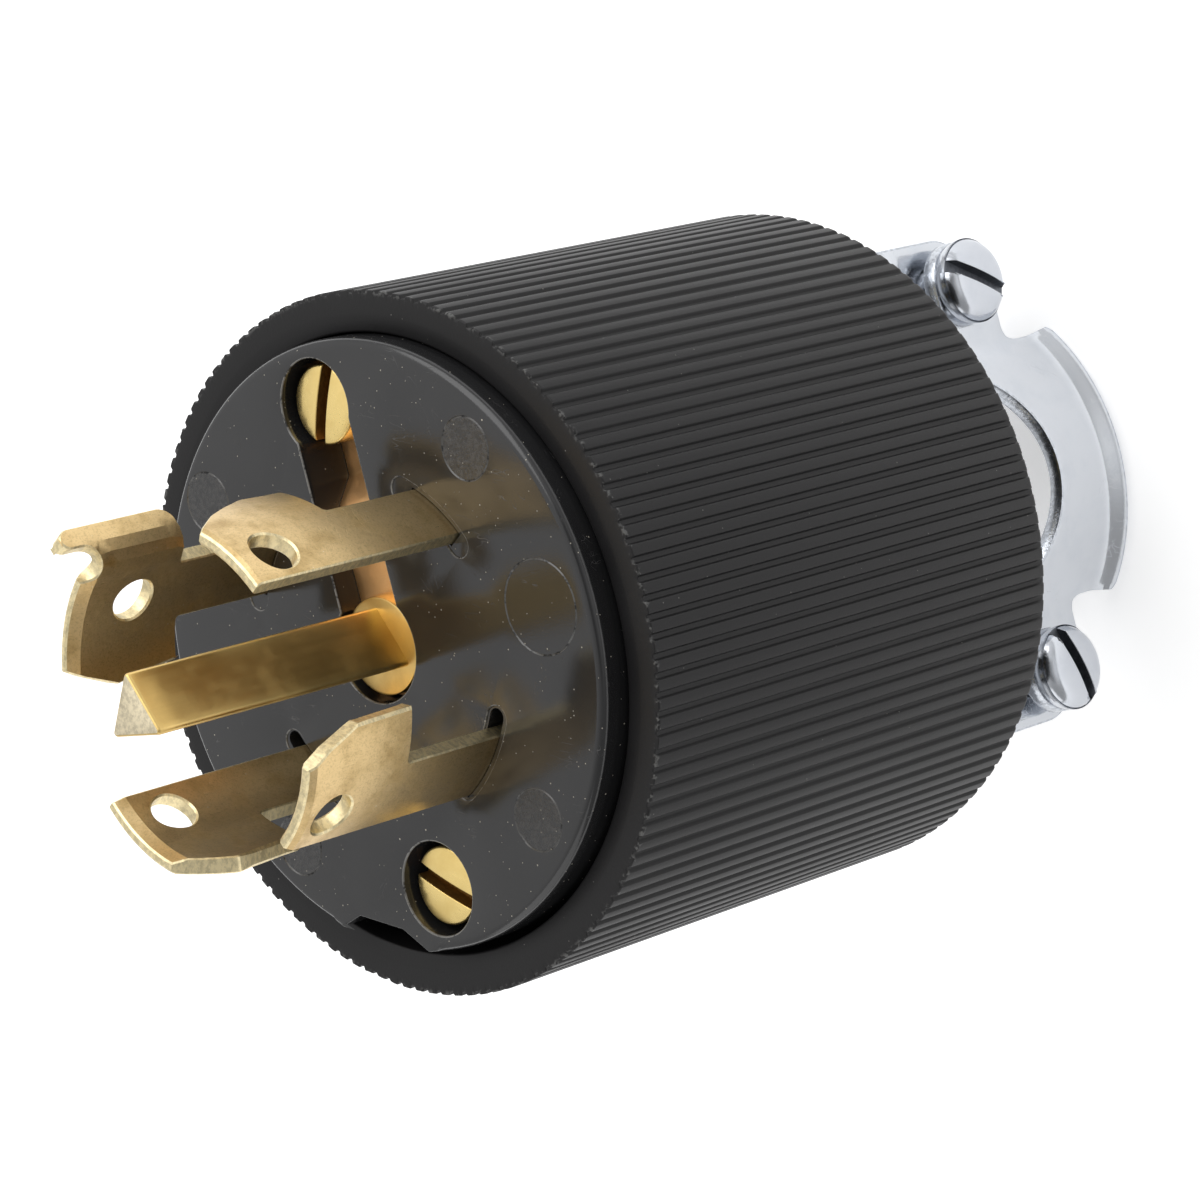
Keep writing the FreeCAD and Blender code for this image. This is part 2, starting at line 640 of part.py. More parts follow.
def terminal_screw(index):
    """Slotted screw that is driven from the rear into a blade's foot or the pin."""
    seat = PARTING - FOOT_THICKNESS - PLATE_THICKNESS
    low = seat - TERMINAL_HEAD_HEIGHT
    shank = cylinder(TERMINAL_SHANK, seat, PARTING + TERMINAL_TIP)
    screw = cylinder(TERMINAL_HEAD, low, seat).fuse(shank)
    slot = slot_cutter(TERMINAL_SLOT_WIDTH, TERMINAL_SLOT_DEPTH, TERMINAL_HEAD + 1, low, 0)
    return screw.cut(slot).translate(terminal_place(index))


def wire_plate(index):
    """Square plate that presses a wire against the foot."""
    high = PARTING - FOOT_THICKNESS
    half = PLATE_SIDE / 2
    plate = box(Vector(-half, -half, high - PLATE_THICKNESS), Vector(half, half, high))
    plate = plate.cut(cylinder(TERMINAL_SHANK + TERMINAL_TIP_GAP, high - PLATE_THICKNESS - 1, high + 1))
    if index < len(BLADE_ANGLES):
        plate.rotate(Vector(0, 0, 0), UP, BLADE_ANGLES[index])
    return plate.translate(terminal_place(index))


def arch_axis():
    """Distance from the axis to the centre of the saddle's arch."""
    return ARCH_CROWN - ARCH_RADIUS


def arched_sheet(ear_reach, low, high):
    """Arch with a flat ear on each side, bent from one sheet."""
    middle = ARCH_RADIUS - SHEET / 2
    ear = CLAMP_MIDDLE + EAR_GAP / 2 + SHEET / 2
    lean = math.radians(ARCH_ANGLE)
    apex = arch_axis() + middle / math.cos(lean)
    foot = (apex - ear) / math.tan(lean)
    bend = ((apex - ear) / math.sin(lean) - middle * math.tan(lean)) / math.tan(lean / 2)
    path = [
        Vector(ear, -ear_reach, low), Vector(ear, -foot, low), Vector(apex, 0, low),
        Vector(ear, foot, low), Vector(ear, ear_reach, low),
    ]
    return bent_strip(path, (bend, middle, bend), SHEET, UP).extrude(Vector(0, 0, high - low))


def flared_lip():
    """Rear edge of the arch, flared outwards round the arch's own axis."""
    middle = ARCH_RADIUS - SHEET / 2
    lean = math.radians(LIP_FLARE)
    path = [
        Vector(middle, 0, LIP_ROOT + LIP_BEND),
        Vector(middle, 0, LIP_ROOT),
        Vector(middle + (LIP_ROOT + SHEET) * math.tan(lean), 0, -SHEET),
    ]
    section = bent_strip(path, (LIP_BEND,), SHEET, Vector(0, 1, 0))
    section.rotate(Vector(0, 0, 0), UP, -ARCH_ANGLE)
    lip = section.revolve(Vector(0, 0, 0), UP, 2 * ARCH_ANGLE)
    return lip.translate(Vector(arch_axis(), 0, 0))


def saddle_outline(ear_radius):
    """What is left of the bent sheet, seen along X: ears, side edges, rear corners and the front bite."""
    edge = SADDLE_HALF_WIDTH
    ear_low = CLAMP_SCREW_HEIGHT - ear_radius
    ear_top = CLAMP_SCREW_HEIGHT + ear_radius
    fillet = EAR_FILLET
    corner_sag = LIP_CORNER * (1 - QUARTER_MIDDLE)
    fillet_sag = fillet * (1 - QUARTER_MIDDLE)
    bite_centre = BITE_CROWN + BITE_RADIUS
    bite_edge = math.sqrt(BITE_RADIUS ** 2 - (bite_centre - ear_top) ** 2)

    def at(y, z):
        """Point of the outline, on the far side of the clamp."""
        return Vector(-CLAMP_REACH, y, z)

    edges = [line(at(-(edge - LIP_CORNER), 0), at(edge - LIP_CORNER, 0))]
    for side in (1, -1):
        screw = side * CLAMP_SCREW_REACH
        corner_start = at(side * (edge - LIP_CORNER), 0)
        corner_end = at(side * edge, LIP_CORNER)
        fillet_start = at(side * edge, ear_low - fillet)
        fillet_end = at(side * (edge + fillet), ear_low)
        edges += [
            arc(corner_start, at(side * (edge - corner_sag), corner_sag), corner_end),
            line(corner_end, fillet_start),
            arc(fillet_start, at(side * (edge + fillet_sag), ear_low - fillet_sag), fillet_end),
            line(fillet_end, at(screw, ear_low)),
            arc(at(screw, ear_low), at(screw + side * ear_radius, CLAMP_SCREW_HEIGHT), at(screw, ear_top)),
            line(at(screw, ear_top), at(side * bite_edge, ear_top)),
        ]
    edges.append(arc(at(-bite_edge, ear_top), at(0, BITE_CROWN), at(bite_edge, ear_top)))
    return Part.Face(Part.Wire(Part.__sortEdges__(edges))).extrude(Vector(2 * CLAMP_REACH, 0, 0))


def clamp_half(ear_radius):
    """One stamped half of the clamp, without legs, as the loose half lies."""
    ear_top = CLAMP_SCREW_HEIGHT + ear_radius
    root = LIP_ROOT + LIP_BEND
    sheet = arched_sheet(CLAMP_SCREW_REACH + ear_radius, root, ear_top)
    half = sheet.fuse(flared_lip())
    return half.common(saddle_outline(ear_radius))


def along_clamp_screw(radius, low, high, side):
    """Cylinder round the axis of a clamp screw, between two X values."""
    start = Vector(low, side * CLAMP_SCREW_REACH, CLAMP_SCREW_HEIGHT)
    return Part.makeCylinder(radius, high - low, start, ALONG_X)


def clamp_saddle():
    """Loose half of the clamp with a clearance hole in each ear."""
    saddle = clamp_half(NEAR_EAR)
    for side in (1, -1):
        saddle = saddle.cut(along_clamp_screw(SCREW_CLEARANCE, -CLAMP_REACH, CLAMP_REACH, side))
    return saddle


def yoke_leg():
    """Leg and foot on the +Y side: the sheet runs forward from the ear and turns towards +X at the sleeve."""
    ear = CLAMP_MIDDLE - EAR_GAP / 2 - SHEET / 2
    leg = LEG_INNER_FACE - SHEET / 2
    low, high = LEG_BEND_HEIGHTS
    foot = SLEEVE_REAR - SHEET / 2
    inner = CLAMP_SCREW_REACH - FAR_EAR
    path = [
        Vector(ear, inner, CLAMP_SCREW_HEIGHT), Vector(ear, inner, low), Vector(leg, inner, high),
        Vector(leg, inner, foot), Vector(FOOT_FRONT, inner, foot),
    ]
    strip = bent_strip(path, (LEG_BEND, LEG_BEND, LEG_BEND), SHEET, Vector(0, 1, 0))
    strip = strip.extrude(Vector(0, 2 * FAR_EAR, 0))
    below = foot - SHEET
    for end, inwards in ((inner, 1), (inner + 2 * FAR_EAR, -1)):
        corner = polygon([
            Vector(FOOT_FRONT - FOOT_CORNER, end, below),
            Vector(FOOT_FRONT, end, below),
            Vector(FOOT_FRONT, end + inwards * FOOT_CORNER, below),
        ])
        strip = strip.cut(corner.extrude(Vector(0, 0, 2 * SHEET)))
    return strip.cut(cylinder(SCREW_SHANK, below, foot + SHEET, 0, SCREW_REACH))


def clamp_yoke():
    """Fixed half of the clamp: arch, two threaded ears, two legs and two feet, one stamping."""
    half = clamp_half(FAR_EAR).mirror(Vector(CLAMP_MIDDLE, 0, 0), ALONG_X)
    leg = yoke_leg()
    yoke = half.fuse(leg).fuse(leg.mirror(Vector(0, 0, 0), Vector(0, 1, 0)))
    ear_face = CLAMP_MIDDLE - EAR_GAP / 2
    for side in (1, -1):
        yoke = yoke.fuse(along_clamp_screw(FAR_EAR, EAR_BOSS_END, ear_face, side))
    for side in (1, -1):
        yoke = yoke.cut(along_clamp_screw(CLAMP_SHANK, -CLAMP_REACH, CLAMP_REACH, side))
    return yoke


def clamp_screw(side, slot_angle):
    """Pan-head screw through the loose half into the fixed half's ear."""
    crown = CLAMP_HEAD_RADIUS - CLAMP_HEAD_EDGE
    high = CLAMP_HEAD_HEIGHT
    shoulder = Vector(CLAMP_HEAD_RADIUS, 0, high - CLAMP_HEAD_EDGE)
    reach = CLAMP_HEAD_EDGE * QUARTER_MIDDLE
    on_edge = Vector(crown + reach, 0, high - CLAMP_HEAD_EDGE + reach)
    base = Vector(CLAMP_HEAD_RADIUS - CLAMP_HEAD_TAPER, 0, 0)
    edges = [
        line(Vector(0, 0, 0), base),
        line(base, shoulder),
        arc(shoulder, on_edge, Vector(crown, 0, high)),
        line(Vector(crown, 0, high), Vector(0, 0, high)),
        line(Vector(0, 0, high), Vector(0, 0, 0)),
    ]
    head = Part.Face(Part.Wire(edges)).revolve(Vector(0, 0, 0), UP, 360)
    head = head.cut(slot_cutter(CLAMP_SLOT_WIDTH, CLAMP_SLOT_DEPTH, CLAMP_HEAD_RADIUS + 1, high, slot_angle))
    seat = CLAMP_MIDDLE + EAR_GAP / 2 + SHEET
    screw = head.fuse(cylinder(CLAMP_SHANK, CLAMP_SCREW_END - seat, 0))
    turn = Rotation(Vector(0, 1, 0), UP, ALONG_X, "ZXY")
    screw.Placement = Placement(Vector(seat, side * CLAMP_SCREW_REACH, CLAMP_SCREW_HEIGHT), turn)
    return screw


def export(name, shape, shift=BODY_SHIFT):
    """Check a piece, move it onto the body's axis and write it."""
    piece = shape.copy()
    piece.translate(Vector(0, shift, 0))
    solids = piece.Solids
    if len(solids) != 1 or not solids[0].isValid():
        raise ValueError(name + " is not one valid solid")
    print(name, round(solids[0].Volume, 1), solids[0].BoundBox)
    solids[0].exportStep(os.path.join("parts", name + ".step"))


def main():
    """Make every piece and write it to its own file."""
    os.makedirs("parts", exist_ok=True)
    export("outer_sleeve", outer_sleeve(), 0.0)
    export("plug_body", plug_body())
    export("terminal_carrier", terminal_carrier())
    for index in range(len(BLADE_ANGLES)):
        export("locking_blade_%d" % (index + 1), locking_blade(index))
    export("ground_pin", ground_pin())
    export("ground_strap", ground_strap())
    export("assembly_screw_upper", assembly_screw(1, SCREW_SLOT_ANGLES[0]))
    export("assembly_screw_lower", assembly_screw(-1, SCREW_SLOT_ANGLES[1]))
    for index in range(len(BLADE_ANGLES) + 1):
        export("terminal_screw_%d" % (index + 1), terminal_screw(index))
        export("wire_plate_%d" % (index + 1), wire_plate(index))
    export("clamp_yoke", clamp_yoke())
    export("clamp_saddle", clamp_saddle())
    export("clamp_screw_upper", clamp_screw(1, CLAMP_SLOT_ANGLES[0]))
    export("clamp_screw_lower", clamp_screw(-1, CLAMP_SLOT_ANGLES[1]))


main()
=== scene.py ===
import math

import bmesh
import bpy
import numpy as np
from mathutils import Matrix, Vector
from mathutils.geometry import delaunay_2d_cdt


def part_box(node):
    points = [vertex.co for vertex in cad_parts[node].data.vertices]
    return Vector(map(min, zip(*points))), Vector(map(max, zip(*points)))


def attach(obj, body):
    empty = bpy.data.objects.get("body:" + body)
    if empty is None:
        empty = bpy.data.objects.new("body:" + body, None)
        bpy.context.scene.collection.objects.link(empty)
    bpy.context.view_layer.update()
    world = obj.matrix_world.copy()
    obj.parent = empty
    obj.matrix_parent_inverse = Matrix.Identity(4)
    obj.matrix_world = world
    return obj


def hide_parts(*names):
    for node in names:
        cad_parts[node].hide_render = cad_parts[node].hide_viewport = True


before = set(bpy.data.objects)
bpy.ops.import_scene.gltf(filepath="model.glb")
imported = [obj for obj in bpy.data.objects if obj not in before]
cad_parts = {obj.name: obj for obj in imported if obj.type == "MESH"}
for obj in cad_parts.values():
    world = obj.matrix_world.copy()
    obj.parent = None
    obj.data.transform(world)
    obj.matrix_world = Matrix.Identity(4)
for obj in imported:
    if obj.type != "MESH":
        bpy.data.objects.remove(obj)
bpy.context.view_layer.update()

# A round locking power plug that stands on the rear edges of its cord clamp, with its blades up.
# Shapes are worked out in millimetres about the axis of the front moulding and put into metres at
# the end. The sleeve's own axis lies a little to one side of it.
MM = 0.001

# Distance in metres under which two points of a mesh are one, and in millimetres for a flat region
MERGE = 2e-6
FLAT_MERGE = 1e-7

# What counts as nothing in a division and in a comparison, and how far the sleeve keeps inside its box
TINY = 1e-12
SMALL = 1e-9
BOX_MARGIN = 0.001


def low(node, axis):
    """Lowest coordinate of a solid, in millimetres."""
    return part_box(node)[0][axis] / MM


def high(node, axis):
    """Highest coordinate of a solid, in millimetres."""
    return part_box(node)[1][axis] / MM


X, Y, Z = 0, 1, 2
FACE = high("plug_body", Z)
PARTING = low("plug_body", Z)
DISC_RADIUS = (high("plug_body", X) - low("plug_body", X)) / 2
SLEEVE_RADIUS = high("outer_sleeve", X) - BOX_MARGIN
SLEEVE_FRONT = high("outer_sleeve", Z)
SLEEVE_REAR = low("outer_sleeve", Z)
BODY_Y = (high("plug_body", Y) + low("plug_body", Y)) / 2

# Ribbed sleeve
RIB_COUNT = 120
RIB_DEPTH = 0.3
FRONT_LAND = 28.7
FRONT_BAND = 27.6
FRONT_BAND_DROP = 0.25
SLEEVE_BORE = 26.1
REAR_WALL = 3.5
CORD_OPENING = 15.2
OPENING_CHAMFER = 0.8
REAR_ROUND = 0.5
FRONT_ROUND = 0.11
FRONT_WEAR = 0.16

# Front disc
DISC_EDGE = 0.75
NOTCH_EDGE = 0.16
NOTCH_FLOOR = 23.9

# The notch's corners on its floor and on the rim, where the rim's even steps end, where its edge begins to
# widen, all in degrees, and the corners' radii
NOTCH_FLOOR_ANGLES = (-115.6, -103.2)
NOTCH_RIM_ANGLES = (-119.9, -96.7)
NOTCH_ARC_ENDS = (-121.9, -94.5)
NOTCH_BLEND = (-120.8, -95.7)
NOTCH_BLEND_WIDTH = 2.5
NOTCH_RADII = (0.55, 0.5, 0.5, 0.55)

# Slots, marks and holes of the disc
SLOT_RADII = (13.2, 15.3)
SLOT_HALF_ANGLE = 19.3
SLOT_DEPTH = 0.14
SLOT_GAP = 0.5
OPENING_GAP = 0.05
OPEN_SLOT_ENDS = {2: -1, 3: 1}
OPEN_END_GAP = 1.0
SLOT_MOUTH = 0.1
SLOT_FILLET = 0.05
CHANNEL_MOUTH = 0.12
HEAD_MOUTH = 0.14
HEAD_FILLET = 0.2
MARK_PLACES = ((16.2, 13.8), (13.8, -16.3), (-16.1, 15.2), (-15.5, -14.8))
MARK_RADIUS = 2.6
WIDE_MARK_PLACE = (20.1, 0.2)
WIDE_MARK_RADIUS = 3.9
MARK_DEPTH = 0.1
MOUTH_ROWS = 4
MARK_HALF_WIDTH = 0.09
COLLAR_HOLE = 4.65
HEAD_HOLE = 4.0
CLEARANCE = 2.3
HOLE_STEPS = 40
STEM_RADIUS = 3.4

# Blades. Each outline is flat: angle from the blade's middle in degrees, height over the face and
# the corner's radius, from the hook's root round the hook and the tip to the strip's other side.
BLADE_MIDDLE = 14.15
BLADE_THICKNESS = 1.4
BLADE_ANGLES = (42.3, 138.5, -139.4, -47.8)
BLADE_CORNERS = (
    ((10.3, 9.6, 0.35), (29.2, 9.9, 0.3), (31.9, 14.0, 1.2), (23.4, 18.6, 0.8), (15.4, 21.5, 0.0),
     (-12.6, 21.4, 0.0)),
    ((12.6, 9.9, 0.35), (28.0, 9.9, 0.3), (31.4, 16.3, 0.5), (26.3, 19.7, 0.0), (23.4, 21.2, 0.0)),
    ((11.7, 9.4, 0.35), (34.0, 9.8, 0.3), (37.5, 17.2, 0.7), (29.3, 19.4, 0.0), (23.0, 21.2, 0.0),
     (-11.7, 20.75, 0.0)),
    ((10.0, 10.05, 0.3), (28.9, 10.2, 0.0), (28.3, 15.9, 0.0), (22.2, 19.0, 0.0), (16.6, 20.8, 0.0),
     (-16.7, 19.9, 0.0)),
)

# Width and drop of each tip's bevel on the outer face and on the inner one, and where it stops
TIP_BEVELS = (
    ((0.4, 0.3), (0.4, 0.3)),
    ((0.5, 0.3), (1.05, 0.6)),
    ((0.3, 0.2), (1.05, 0.45)),
    ((0.6, 0.35), (0.4, 0.3)),
)
TIP_LIMIT = -9.0
EDGE_BEVEL = 0.12
HOOK_BEVEL = 0.25
HOOK_START = 5.5
HOOK_HEIGHTS = (10.5, 15.8)
HOLE_BEVEL = 0.16
BLADE_HOLES = ((-1.5, 17.6), (1.0, 15.1), (0.0, 16.45), (-3.1, 17.0))
BLADE_HOLE = 1.95
TABBED_BLADE = 1
PER_DEGREE = math.radians(1) * BLADE_MIDDLE
FOOT_THICKNESS = 1.4
FOOT_EASE = 0.01
FOOT_END = 21.7
FOOT_HALF_WIDTH = 3.35
FOOT_SIDE_ANGLE = 13.0
TAB_ANGLE = -21.5
TAB_END = 16.95
TAB_LOW = 12.0
TAB_ROOT_LOW = 11.0
TAB_HIGH = 23.75
TAB_BEND = 1.7
TAB_CORNER = 1.4
TAB_ROOT_CORNER = 0.3
TAB_SIDE = -11.4
RELIEF_ANGLE = -16.6
RELIEF_RADIUS = 1.7
RELIEF_CORNER = 0.9
RELIEF_LOW = 20.1

# Ground pin and copper strap
PIN_CIRCUMRADIUS = 3.6
PIN_APEX_ANGLE = 84.0
PIN_APEX_ROUND = 0.35
PIN_END_ROUND = 0.28
PIN_END_ROWS = ((0.04, 0.14), (0.12, 0.04), (0.2, 0.0))
COLLAR_RADIUS = 4.15
COLLAR_TOP = 0.65
STEM_HEAD = 4.5
STRAP_SIDES = (-3.1, 3.65)
STRAP_THICKNESS = 0.8
STRAP_DEPTH_AT_PIN = 2.4
STRAP_DEPTH_AT_SCREW = 4.6
STRAP_JOGGLE = (11.6, 14.2)
STRAP_BEND = 1.0
STRAP_EYE_AT_PIN = 4.5
STRAP_EYE_AT_SCREW = 3.8
STRAP_START = -6.0
STRAP_END = 32.0
STRAP_STEPS = 1521

# Screws and terminals
SCREW_REACH = 20.4
SCREW_HEAD_RADIUS = 3.35
SCREW_HEAD_TOP = 0.8
SCREW_SHANK = 2.08
SCREW_SLOT_ANGLES = (62.0, -34.0)
TERMINAL_REACH = 18.3
TERMINAL_SHANK = 2.1
TERMINAL_TIP_ROOM = 3.6
THREAD_PITCH = 0.8
THREAD_DEPTH = 0.32
THREAD_ROWS = 8
THREAD_TIP = 0.7
THREAD_TAPER = 0.55
THREAD_NECK = 0.6

# Cord clamp
SHEET = 1.5
SHEET_BEVEL = 0.22
SHEET_HOLE_BEVEL = 0.1
CLAMP_MIDDLE = 0.95
EAR_GAP = 1.1
ARCH_CROWN = 7.9
ARCH_RADIUS = 18.65
ARCH_ANGLE = 41.3
SADDLE_HALF_WIDTH = 12.35
CLAMP_SCREW_REACH = 18.8
CLAMP_SCREW_HEIGHT = 10.1
NEAR_EAR = 4.0
FAR_EAR = 4.7
BITE_RADIUS = 11.4
BITE_CROWN = 8.9
BITE_CORNER = 0.7
LIP_ROOT = 2.5
LIP_FLARE = 34.0
LIP_BEND = 2.6
LIP_CORNER = 1.3
EAR_FILLET = 1.8
LEG_INNER_FACE = -2.6
LEG_BEND_HEIGHTS = (16.0, 22.0)
LEG_BEND = 2.0
LEG_FILLET = 1.4
FOOT_FRONT = 5.0
FOOT_CORNER = 2.0
EAR_BOSS_END = -3.4
CLAMP_HEAD_RADIUS = 4.05
CLAMP_HEAD_HEIGHT = 2.6
CLAMP_SCREW_END = -8.0
CLAMP_SLOT_ANGLES = (62.7, 18.7)


# Shapes

class Surface:
    """Grids and caps of one closed shell, gathered in millimetres.

    Each face has a number from 0 to 1 for how far it takes its material's edge colour: cut metal on the
    sheets, blades and pin's end, painted shade in the screws' slots, and a painted highlight on the
    disc's recess mouths and marks' rings.
    """

    def __init__(self):
        self.points = []
        self.faces = []
        self.cuts = []
        self.total = 0

    def add(self, points, faces, cut=0.0):
        """Points and the faces between them."""
        self.points.append(points)
        self.faces.append(faces + self.total)
        self.cuts.append(np.full(len(faces), cut))
        self.total += len(points)

    def grid(self, points, cut=0.0):
        """Rows by columns of points: four neighbours make a face, and the last column joins the first."""
        rows, columns = points.shape[:2]
        index = np.arange(rows * columns).reshape(rows, columns)
        index = np.concatenate([index, index[:, :1]], axis=1)
        quads = np.stack([index[:-1, :-1], index[:-1, 1:], index[1:, 1:], index[1:, :-1]], axis=-1)
        self.add(points.reshape(-1, 3), quads.reshape(-1, 4), cut)

    def bore(self, loop, *heights):
        """Straight wall of a flat loop from height to height."""
        self.grid(np.stack([raised(loop, height) for height in heights]))

    def cap(self, loops, place, spread=None, creases=()):
        """Triangles between closed flat loops, an outer one and any holes, carried to their place.

        A triangle is kept where a ray from its middle crosses the loops an odd number of times.
        spread is a pair of spacings for points inside, so that a bent cap follows its bend. No triangle
        crosses a crease, an open line between two corners of the loops.
        """
        loops = [np.asarray(loop, dtype=np.float32).astype(float) for loop in loops]
        edges = []
        start = 0
        for loop in loops:
            index = np.arange(len(loop)) + start
            edges.append(np.stack([index, np.roll(index, -1)], axis=1))
            start += len(loop)
        for crease in creases:
            index = np.arange(len(crease)) + start
            edges.append(np.stack([index[:-1], index[1:]], axis=1))
            start += len(crease)
        edges = np.concatenate(edges)
        flat = np.concatenate([*loops, *creases])
        if spread is not None:
            inside = spread_points(loops, spread, creases)
            flat = np.concatenate([flat, inside])
        flat = [Vector(point) for point in flat.tolist()]
        result = delaunay_2d_cdt(flat, edges.tolist(), [], 0, FLAT_MERGE)
        corners = np.array([vertex[:] for vertex in result[0]])
        triangles = np.array(result[2])
        kept = odd_crossings(corners[triangles].mean(axis=1), loops)
        self.add(place(corners), triangles[kept])


def odd_crossings(points, loops):
    """True where a ray along the first axis from a point crosses the loops an odd number of times."""
    count = np.zeros(len(points), dtype=int)
    for loop in loops:
        start, end = loop, np.roll(loop, -1, axis=0)
        spans = (start[:, 1] > points[:, 1:2]) != (end[:, 1] > points[:, 1:2])
        rise = end[:, 1] - start[:, 1]
        rise = np.where(rise == 0, TINY, rise)
        across = start[:, 0] + (points[:, 1:2] - start[:, 1]) / rise * (end[:, 0] - start[:, 0])
        count += (spans & (points[:, 0:1] < across)).sum(axis=1)
    return count % 2 == 1


def spread_points(loops, spacing, creases=()):
    """Even grid of points inside the loops, a third of the spacing clear of them and of the creases."""
    first, last = loops[0].min(axis=0), loops[0].max(axis=0)
    counts = np.maximum(((last - first) / spacing).astype(int), 1)
    axes = [np.linspace(first[i], last[i], counts[i] + 1) for i in (0, 1)]
    points = np.stack(np.meshgrid(*axes), axis=-1).reshape(-1, 2)
    points = points[odd_crossings(points, loops)]
    for loop in [*loops, *creases]:
        start, along = loop, np.roll(loop, -1, axis=0) - loop
        size = np.maximum((along ** 2).sum(axis=1), TINY)
        offset = points[:, None, :] - start
        share = np.clip((offset * along).sum(axis=2) / size, 0, 1)
        gap = np.linalg.norm(offset - share[..., None] * along, axis=2).min(axis=1)
        points = points[gap > min(spacing) / 3]
    return points


def turn_degrees(points, degrees):
    """Points turned about the third axis, or flat points about their origin."""
    turn = math.radians(degrees)
    result = np.array(points, dtype=float)
    result[..., 0] = points[..., 0] * math.cos(turn) - points[..., 1] * math.sin(turn)
    result[..., 1] = points[..., 0] * math.sin(turn) + points[..., 1] * math.cos(turn)
    return result


def raised(flat, height):
    """Flat points put at a height, which is one number or one for each point."""
    return np.concatenate([flat, np.broadcast_to(height, flat.shape[:-1])[..., None]], axis=-1)


def on_circle(radius, turn, centre=(0.0, 0.0)):
    """Flat points at turns about a centre: centre plus radius times (cos, sin)."""
    return np.stack([centre[0] + radius * np.cos(turn), centre[1] + radius * np.sin(turn)], axis=-1)


def even_turns(count):
    """Even steps of one turn, in radians."""
    return np.arange(count) / count * 2 * math.pi


def circle(radius, centre=(0.0, 0.0), count=48):
    """Round loop of even steps, counter-clockwise."""
    return on_circle(radius, even_turns(count), centre)


def arc_points(radius, first, last, count, centre=(0.0, 0.0)):
    """Points of a round arc between two angles in degrees, ends included."""
    return on_circle(radius, np.radians(np.linspace(first, last, count)), centre)


def at_angles(radius, *angles):
    """Flat points at one radius and at angles in degrees."""
    return on_circle(radius, np.radians(angles))


def side_angle(offset, radius):
    """Angle in degrees at which a circle about the origin meets a line at an offset."""
    return math.degrees(math.acos(offset / radius))


def inset(loop, amount):
    """A counter-clockwise loop moved inwards: each corner goes to where its two shifted edges cross.

    amount is one number or one for each edge, the edge after a corner having the corner's number. A
    corner whose turn has a sine under 0.08 moves along the middle of its two normals instead.
    """
    least_turn, least_middle = 0.08, 0.2
    after_amount = np.broadcast_to(np.asarray(amount, dtype=float), (len(loop),))
    before_amount = np.roll(after_amount, 1)
    after = np.roll(loop, -1, axis=0) - loop
    after /= np.maximum(np.linalg.norm(after, axis=1, keepdims=True), SMALL)
    after_normal = np.stack([-after[:, 1], after[:, 0]], axis=1)
    before_normal = np.roll(after_normal, 1, axis=0)
    cross = before_normal[:, 0] * after_normal[:, 1] - before_normal[:, 1] * after_normal[:, 0]
    middle = before_normal + after_normal
    middle /= np.maximum((middle ** 2).sum(axis=1, keepdims=True), least_middle) / 2
    mean_amount = (before_amount + after_amount)[:, None] / 2
    smooth = (np.abs(cross) < least_turn)[:, None]
    safe = np.where(smooth, 1.0, cross[:, None])
    meeting = (before_amount[:, None] * np.stack([after_normal[:, 1], -after_normal[:, 0]], axis=1)
               - after_amount[:, None] * np.stack([before_normal[:, 1], -before_normal[:, 0]], axis=1)) / safe
    return loop + np.where(smooth, middle * mean_amount, meeting)


def rounded(corners, radii, step=0.25):
    """Closed polygon with arcs for corners: an arc's ends lie radius times tan(half turn) from its corner."""
    corners = np.asarray(corners, dtype=float)
    radii = np.broadcast_to(np.asarray(radii, dtype=float), (len(corners),))
    before = corners - np.roll(corners, 1, axis=0)
    before /= np.linalg.norm(before, axis=1, keepdims=True)
    after = np.roll(before, -1, axis=0)
    cross = before[:, 0] * after[:, 1] - before[:, 1] * after[:, 0]
    turn = np.arctan2(cross, (before * after).sum(axis=1))
    parts = []
    for corner, way, bend, radius in zip(corners, before, turn, radii):
        if radius <= 0 or abs(bend) < 1e-4:
            parts.append(corner[None])
            continue
        side = math.copysign(1.0, bend)
        enter = corner - way * radius * math.tan(abs(bend) / 2)
        centre = enter + side * radius * np.array([-way[1], way[0]])
        count = max(int(abs(bend) * radius / step), 3) + 1
        swing = np.linspace(0, bend, count)
        arm = enter - centre
        parts.append(centre + np.stack([arm[0] * np.cos(swing) - arm[1] * np.sin(swing),
                                        arm[0] * np.sin(swing) + arm[1] * np.cos(swing)], axis=1))
    return np.concatenate(parts)


def refined(loop, step):
    """Loop with its long edges divided, so that no edge is longer than the step."""
    after = np.roll(loop, -1, axis=0)
    counts = np.maximum(np.ceil(np.linalg.norm(after - loop, axis=1) / step).astype(int), 1)
    owner = np.repeat(np.arange(len(loop)), counts)
    first = np.concatenate([[0], np.cumsum(counts)[:-1]])
    share = (np.arange(counts.sum()) - first[owner]) / counts[owner]
    return loop[owner] + share[:, None] * (after - loop)[owner]


def at_height(height):
    """Place for flat points: the same height for all."""
    return lambda flat: raised(flat, height)


def rings(loop, rows):
    """Stack of loops, one for each (inset, height) row."""
    return np.stack([raised(inset(loop, amount), height) for amount, height in rows])


def quarter_turn(steps):
    """Pairs (1 - cos t, 1 - sin t) for even steps of t over a quarter turn."""
    return [(1 - math.cos(turn), 1 - math.sin(turn)) for turn in np.linspace(0, math.pi / 2, steps)]


def round_rows(edge, top, steps):
    """Rows of a quarter round at the top of a wall: inset edge(1 - cos t), height top - edge(1 - sin t)."""
    return [(edge * inward, top - edge * down) for inward, down in quarter_turn(steps)]


def hollow_rows(edge, top, bottom, fillet=0.0):
    """Rows of a recess from its round mouth at the top to its floor: the loop first widens by the edge."""
    rows = [(-amount, height) for amount, height in round_rows(edge, top, 4)[::-1]]
    if fillet > 0:
        rows += [(fillet * inward, bottom + fillet * up) for inward, up in quarter_turn(4)]
    else:
        rows.append((0.0, bottom))
    return rows


